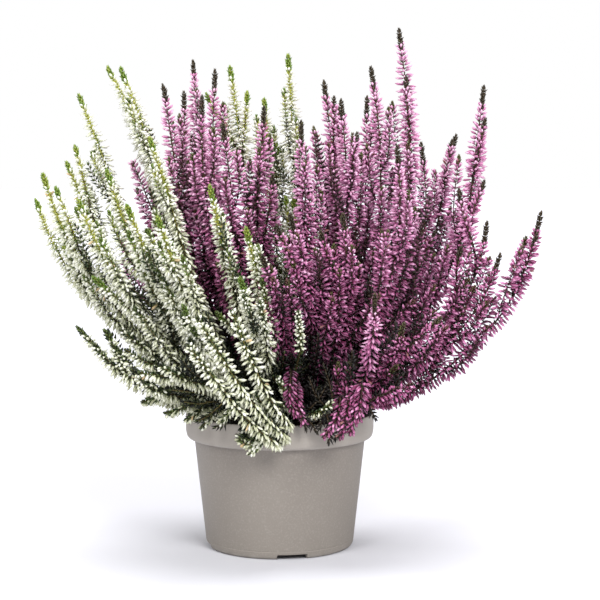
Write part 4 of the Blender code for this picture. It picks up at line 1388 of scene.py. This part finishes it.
def potMaterial():
    # body + clouds + pale specks + dark pits, a collar painted paler against the plant's shadow, and
    # wear with a painted highlight line = band by height x noise
    look = potLook
    material, tree, shader = newMaterial("greyPotPlastic")
    spot = addNode(tree, "TexCoord").outputs["Object"]
    clouds = grain(tree, stretched(tree, spot, look["stretch"]), *look["clouds"])[0]
    specks, pits, worn = (grain(tree, spot, *look[name]) for name in ("specks", "pits", "worn"))
    height = addNode(tree, "SeparateXYZ", (spot,)).outputs[2]
    # painted light: the collar, from its lower lip up, is made paler against the plant's shadow
    collarPaintedLightMask = ranged(tree, height, *look["collarRun"], 0.0, 1.0)
    stops = [(place, (strength,) * 3 + (1,)) for place, strength in look["band"]]
    band = rampColour(tree, ranged(tree, height, 0.0, look["height"], 0.0, 1.0), stops)
    # rubbed wear at the foot and rim, and a painted highlight line along the collar's lower lip
    edge = maths(tree, "MULTIPLY", band, worn[0])
    colour = fromScreen(*look["body"])
    for mask, share, over in (
        (clouds, "cloudShare", "dark"),
        (specks[0], "speckShare", "pale"),
        (pits[0], "pitShare", "dark"),
        (collarPaintedLightMask, "collarShare", "collar"),
        (edge, "wornShare", "edge"),
    ):
        colour = layer(tree, colour, mask, look[share], look[over])
    rough = ranged(tree, clouds, 0.0, 1.0, *look["rough"])
    wireUp(tree, shader, colour, rough, look["bump"], specks[1], look["shine"])
    return material


soilLook = {
    "stretch": (1.0, 1.0, 1.0), "grain": (420.0, 4.0, 0.35, 0.7), "dark": (28, 20, 15),
    "light": (74, 54, 38), "patches": (150.0, 5.0, 0.45, 0.62), "patchShare": 0.45,
    "patchColour": (112, 84, 58), "rough": (0.75, 0.95), "bump": (0.8, 0.001), "shine": 0.5,
}
barkLook = {
    "stretch": (1.0, 1.0, 0.25), "grain": (520.0, 4.0, 0.35, 0.65), "dark": (40, 28, 22),
    "light": (98, 74, 54), "patches": (90.0, 3.0, 0.5, 0.7), "patchShare": 0.5,
    "patchColour": (70, 78, 44), "rough": (0.7, 0.92), "bump": (0.8, 0.0008), "shine": 0.5,
}


def roughMaterial(name, look):
    # dark to light by the grain, which is stretched along the axes, with patches over it
    material, tree, shader = newMaterial(name)
    spot = addNode(tree, "TexCoord").outputs["Object"]
    mask, height = grain(tree, stretched(tree, spot, look["stretch"]), *look["grain"])
    patches = grain(tree, spot, *look["patches"])[0]
    colour = mixColour(tree, "MIX", mask, fromScreen(*look["dark"]), fromScreen(*look["light"]))
    colour = layer(tree, colour, patches, look["patchShare"], look["patchColour"])
    rough = ranged(tree, mask, 0.0, 1.0, *look["rough"])
    wireUp(tree, shader, colour, rough, look["bump"], height, look["shine"])
    return material


def roundedProfile(corners, steps, most):
    # each corner C becomes the curve (1 - t)^2 A + 2 (1 - t) t C + t^2 B, with A and B its trim
    # away on both sides, and at most a share of the side
    points = []
    flat = np.array([c[:2] for c in corners], float)
    for index, (_, _, trim) in enumerate(corners):
        here = flat[index]
        if trim == 0:
            points.append(here[None])
            continue
        back, on = flat[index - 1] - here, flat[(index + 1) % len(flat)] - here
        a, b = (here + side * min(trim / np.linalg.norm(side), most) for side in (back, on))
        t = np.linspace(0, 1, steps)[:, None]
        points.append((1 - t) ** 2 * a + 2 * (1 - t) * t * here + t**2 * b)
    return np.vstack(points)


def turned(profile, angles):
    # (r cos a, r sin a, z) for every profile point and angle; the first and last are the poles
    r, z = (profile[1:-1, axis][:, None] for axis in (0, 1))
    rings = np.stack([r * np.cos(angles), r * np.sin(angles), z + 0 * angles], -1)
    poles = [[0, 0, profile[0, 1]], [0, 0, profile[-1, 1]]]
    _, _, quads, foot, top = closedGrid(len(r), len(angles))
    return np.vstack([rings.reshape(-1, 3), poles]), quads, np.vstack([foot, top])


def solidPiece(name, spots, quads, tris, material, sharp):
    # quads and triangles in one mesh, smooth but for edges sharper than the angle in degrees
    corners = np.concatenate([quads.ravel(), tris.ravel()])
    ends = np.concatenate([np.full(len(quads), 4), np.full(len(tris), 3)])
    mesh = newMesh(name, spots, corners, ends)
    mesh.update(calc_edges=True)
    mesh.set_sharp_from_angle(angle=math.radians(sharp))
    mesh.materials.append(material)
    return newObject(name, mesh)


def notchedFoot(spots, notch, centres):
    # in a notch, what lies lower than its roof is lifted to it, with sides that slope by a share of
    # the turn
    turn = np.degrees(np.arctan2(spots[:, 1], spots[:, 0]))[:, None]
    away = np.abs((turn - centres + 180) % 360 - 180).min(1)
    edge = notch["halfAngle"] + notch["slope"]
    lift = notch["height"] * np.clip((edge - away) / notch["slope"], 0, 1)
    z = spots[:, 2]
    low = (np.hypot(spots[:, 0], spots[:, 1]) > notch["from"]) & (z < notch["reach"])
    return np.where(low, np.maximum(z, lift * (1 + notch["bulge"] * z / notch["reach"])), z)


def makePot():
    # the turned profile, its foot notched, with plugs taken out of its floor
    shape, notch, drain = potShape, potShape["notches"], potShape["drains"]
    profile = roundedProfile(shape["profile"], shape["cornerSteps"], shape["mostTrim"])
    centres = notch["first"] + np.arange(notch["count"]) * 360 / notch["count"]
    half, edge = notch["halfAngle"], notch["halfAngle"] + notch["slope"]
    extra = (centres[:, None] + [-edge, -half, half, edge]).ravel() % 360
    degrees = np.concatenate([np.arange(shape["turns"]) * 360 / shape["turns"], extra])
    spots, quads, tris = turned(profile, np.radians(np.unique(np.round(degrees, 3))))
    spots[:, 2] = notchedFoot(spots, notch, centres)
    plastic = potMaterial()
    pot = solidPiece("pot_shell", spots * mm, quads, tris, plastic, shape["sharp"])
    low, high = drain["heights"]
    plugForm = np.array([(0, low), (drain["radius"], low), (drain["radius"], high), (0, high)])
    around = np.arange(drain["sides"]) * 2 * np.pi / drain["sides"]
    plugs = []
    for number in range(drain["count"]):
        angle = math.radians(drain["first"] + 360 / drain["count"] * number)
        spots, quads, tris = turned(plugForm, around)
        spots[:, :2] += drain["ring"] * np.array([math.cos(angle), math.sin(angle)])
        name = f"drainPlug{number}"
        plug = solidPiece(name, spots * mm, quads, tris, plastic, shape["sharp"])
        cut = pot.modifiers.new(name, "BOOLEAN")
        cut.operation, cut.solver, cut.object = "DIFFERENCE", "EXACT", plug
        plugs.append(plug)
    made = pot.evaluated_get(bpy.context.evaluated_depsgraph_get())
    made = bpy.data.meshes.new_from_object(made)
    pot.modifiers.clear()
    pot.data = made
    for plug in plugs:
        bpy.data.objects.remove(plug)
    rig.ride(pot, "root")
    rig.replaces(pot, "pot")
    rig.slot(pot, "pot_plastic")


# In mm. The wall is reach and height; the lumps are on the top only, and fade by the edge.
soilShape = {
    "wall": [(0.0, 6.2), (44.0, 6.2), (45.0, 7.4), (52.4, 70.2), (55.0, 72.6), (57.0, 74.2)],
    "edge": 57.0, "edgeHeight": 76.2, "topHeight": 80.2, "topFrom": 75.5, "lump": 0.45,
    "lumpEdge": 4, "turns": 96, "rings": 32, "sharp": 40,
    "waves": {"coarse": (0.9, 1.3, 0.5, 0.8), "fine": (0.6, 2.1, 1.7)},
}
crumbShape = {
    "seed": 7000, "count": 520, "reach": 56.2, "size": (0.6, 1.7), "sunk": 0.25, "flat": 0.8,
    "push": (0.67, 1.33),
    "corners": [(1, 0, 0), (0, 1, 0), (-1, 0, 0), (0, -1, 0), (0, 0, 1), (0, 0, -1)],
    "faces": [
        (0, 1, 4), (1, 2, 4), (2, 3, 4), (3, 0, 4), (1, 0, 5), (2, 1, 5), (3, 2, 5), (0, 3, 5),
    ],
}


def moundHeight(reach):
    # top - (top - edge) (r / edge)^2
    top = soilShape["topHeight"]
    return top - (top - soilShape["edgeHeight"]) * (reach / soilShape["edge"]) ** 2


def crumbs():
    # eight-sided lumps of a half size, every corner pushed by up to a third, laid on the mound
    shape = crumbShape
    chance, count = np.random.default_rng(shape["seed"]), shape["count"]
    reach = shape["reach"] * np.sqrt(chance.random(count))
    angle = chance.uniform(0, 2 * np.pi, count)
    size = chance.uniform(*shape["size"], count)
    height = moundHeight(reach) + shape["sunk"] * size
    middle = np.stack([reach * np.cos(angle), reach * np.sin(angle), height], 1)
    corners = np.array(shape["corners"], float)
    push = chance.uniform(*shape["push"], (count, len(corners), 1))
    turn = chance.uniform(0, 2 * np.pi, count)[:, None]
    x = corners[:, 0] * np.cos(turn) - corners[:, 1] * np.sin(turn)
    y = corners[:, 0] * np.sin(turn) + corners[:, 1] * np.cos(turn)
    lumps = np.stack([x, y, shape["flat"] * corners[:, 2] + 0 * x], 2) * size[:, None, None] * push
    tris = np.array(shape["faces"])[None] + (np.arange(count) * len(corners))[:, None, None]
    return (middle[:, None] + lumps).reshape(-1, 3), tris.reshape(-1, 3)


def makeSoil():
    # the mound with lumps = products of sines, closed below by a wall and a floor inside the pot
    shape = soilShape
    reach = np.linspace(shape["edge"], 0, shape["rings"])
    profile = np.vstack([shape["wall"], np.stack([reach, moundHeight(reach)], 1)])
    spots, quads, tris = turned(profile, np.arange(shape["turns"]) * 2 * np.pi / shape["turns"])
    x, y, z = spots.T
    inward = np.clip((shape["edge"] - np.hypot(x, y)) / shape["lumpEdge"], 0, 1)
    across, bend, bends, deep = shape["waves"]["coarse"]
    lumps = np.sin(x * across + bend * np.sin(y * bends)) * np.cos(y * deep)
    share, across, deep = shape["waves"]["fine"]
    lumps = lumps + share * np.sin(x * across - y * deep)
    spots[:, 2] += shape["lump"] * lumps * (z > shape["topFrom"]) * inward
    loose, looseTris = crumbs()
    tris = np.vstack([tris, looseTris + len(spots)])
    spots = np.vstack([spots, loose]) * mm
    material = roughMaterial("pottingMix", soilLook)
    soil = solidPiece("potting_mix", spots, quads, tris, material, shape["sharp"])
    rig.ride(soil, "root")
    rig.replaces(soil, "soil")
    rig.slot(soil, "potting_mix")


bark = roughMaterial("woodyBark", barkLook)
for crown in crownGrowth["counts"]:
    frame["nodes"][crown].data.materials.clear()
    frame["nodes"][crown].data.materials.append(bark)
makePot()
makeSoil()
report("pot and potting mix are made")

# The room's own light, and soft suns: turn, lean, strength and width in degrees. The floor's half
# size is in metres.
stage = {
    "room": 0.5,
    "suns": {
        "rightSun": (26, 54, 2.2, 24), "leftSun": (-38, 51, 1.3, 24), "topSun": (180, 9, 2.6, 36),
    },
    "floor": 40, "floorColour": (0.64, 0.64, 0.68, 1), "floorRough": 0.9, "white": (1, 1, 1, 1),
}


def makeStage():
    # the camera at the photograph's eye, a pale room that the lens sees white, three suns, a floor
    scene = bpy.context.scene
    lens = bpy.data.cameras.new("camera")
    lens.sensor_width = viewer["sensor"]
    lens.lens = viewer["focal"] / viewer["frameWidth"] * viewer["sensor"]
    camera = newObject("camera", lens)
    camera.location = viewer["place"]
    camera.rotation_euler = (math.pi / 2 - viewer["tiltDown"], 0, 0)
    scene.camera = camera
    scene.view_settings.view_transform = "Standard"
    world = bpy.data.worlds.new("paleRoom")
    scene.world = world
    world.use_nodes = True
    tree = world.node_tree
    back = tree.nodes["Background"]
    back.inputs["Color"].default_value = stage["white"]
    back.inputs["Strength"].default_value = stage["room"]
    shown = addNode(tree, "Background", {"Color": stage["white"], "Strength": 1.0})
    rays = addNode(tree, "LightPath")
    both = addNode(tree, "MixShader", (rays.outputs[0], back.outputs[0], shown.outputs[0]))
    tree.links.new(both.outputs[0], tree.nodes["World Output"].inputs[0])
    for name, (across, down, strength, spread) in stage["suns"].items():
        lamp = bpy.data.lights.new(name, "SUN")
        lamp.energy, lamp.angle = strength, math.radians(spread)
        newObject(name, lamp).rotation_euler = (math.radians(down), 0, math.radians(across))
    far = stage["floor"]
    corners = [(-far, -far, 0), (far, -far, 0), (far, far, 0), (-far, far, 0)]
    mesh = bpy.data.meshes.new("floor")
    mesh.from_pydata(corners, [], [(0, 1, 2, 3)])
    floor = newObject("floor", mesh)
    material, tree, shader = newMaterial("paleFloor")
    shader.inputs["Base Color"].default_value = stage["floorColour"]
    shader.inputs["Roughness"].default_value = stage["floorRough"]
    shader.inputs["Specular IOR Level"].default_value = 0.0
    mesh.materials.append(material)
    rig.stage(floor)


makeStage()
low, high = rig.bounds()
with open("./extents.json", "w") as out:
    json.dump({"cad": [list(c) for c in cadBox], "visual": [list(low), list(high)]}, out)
report("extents.json is written")
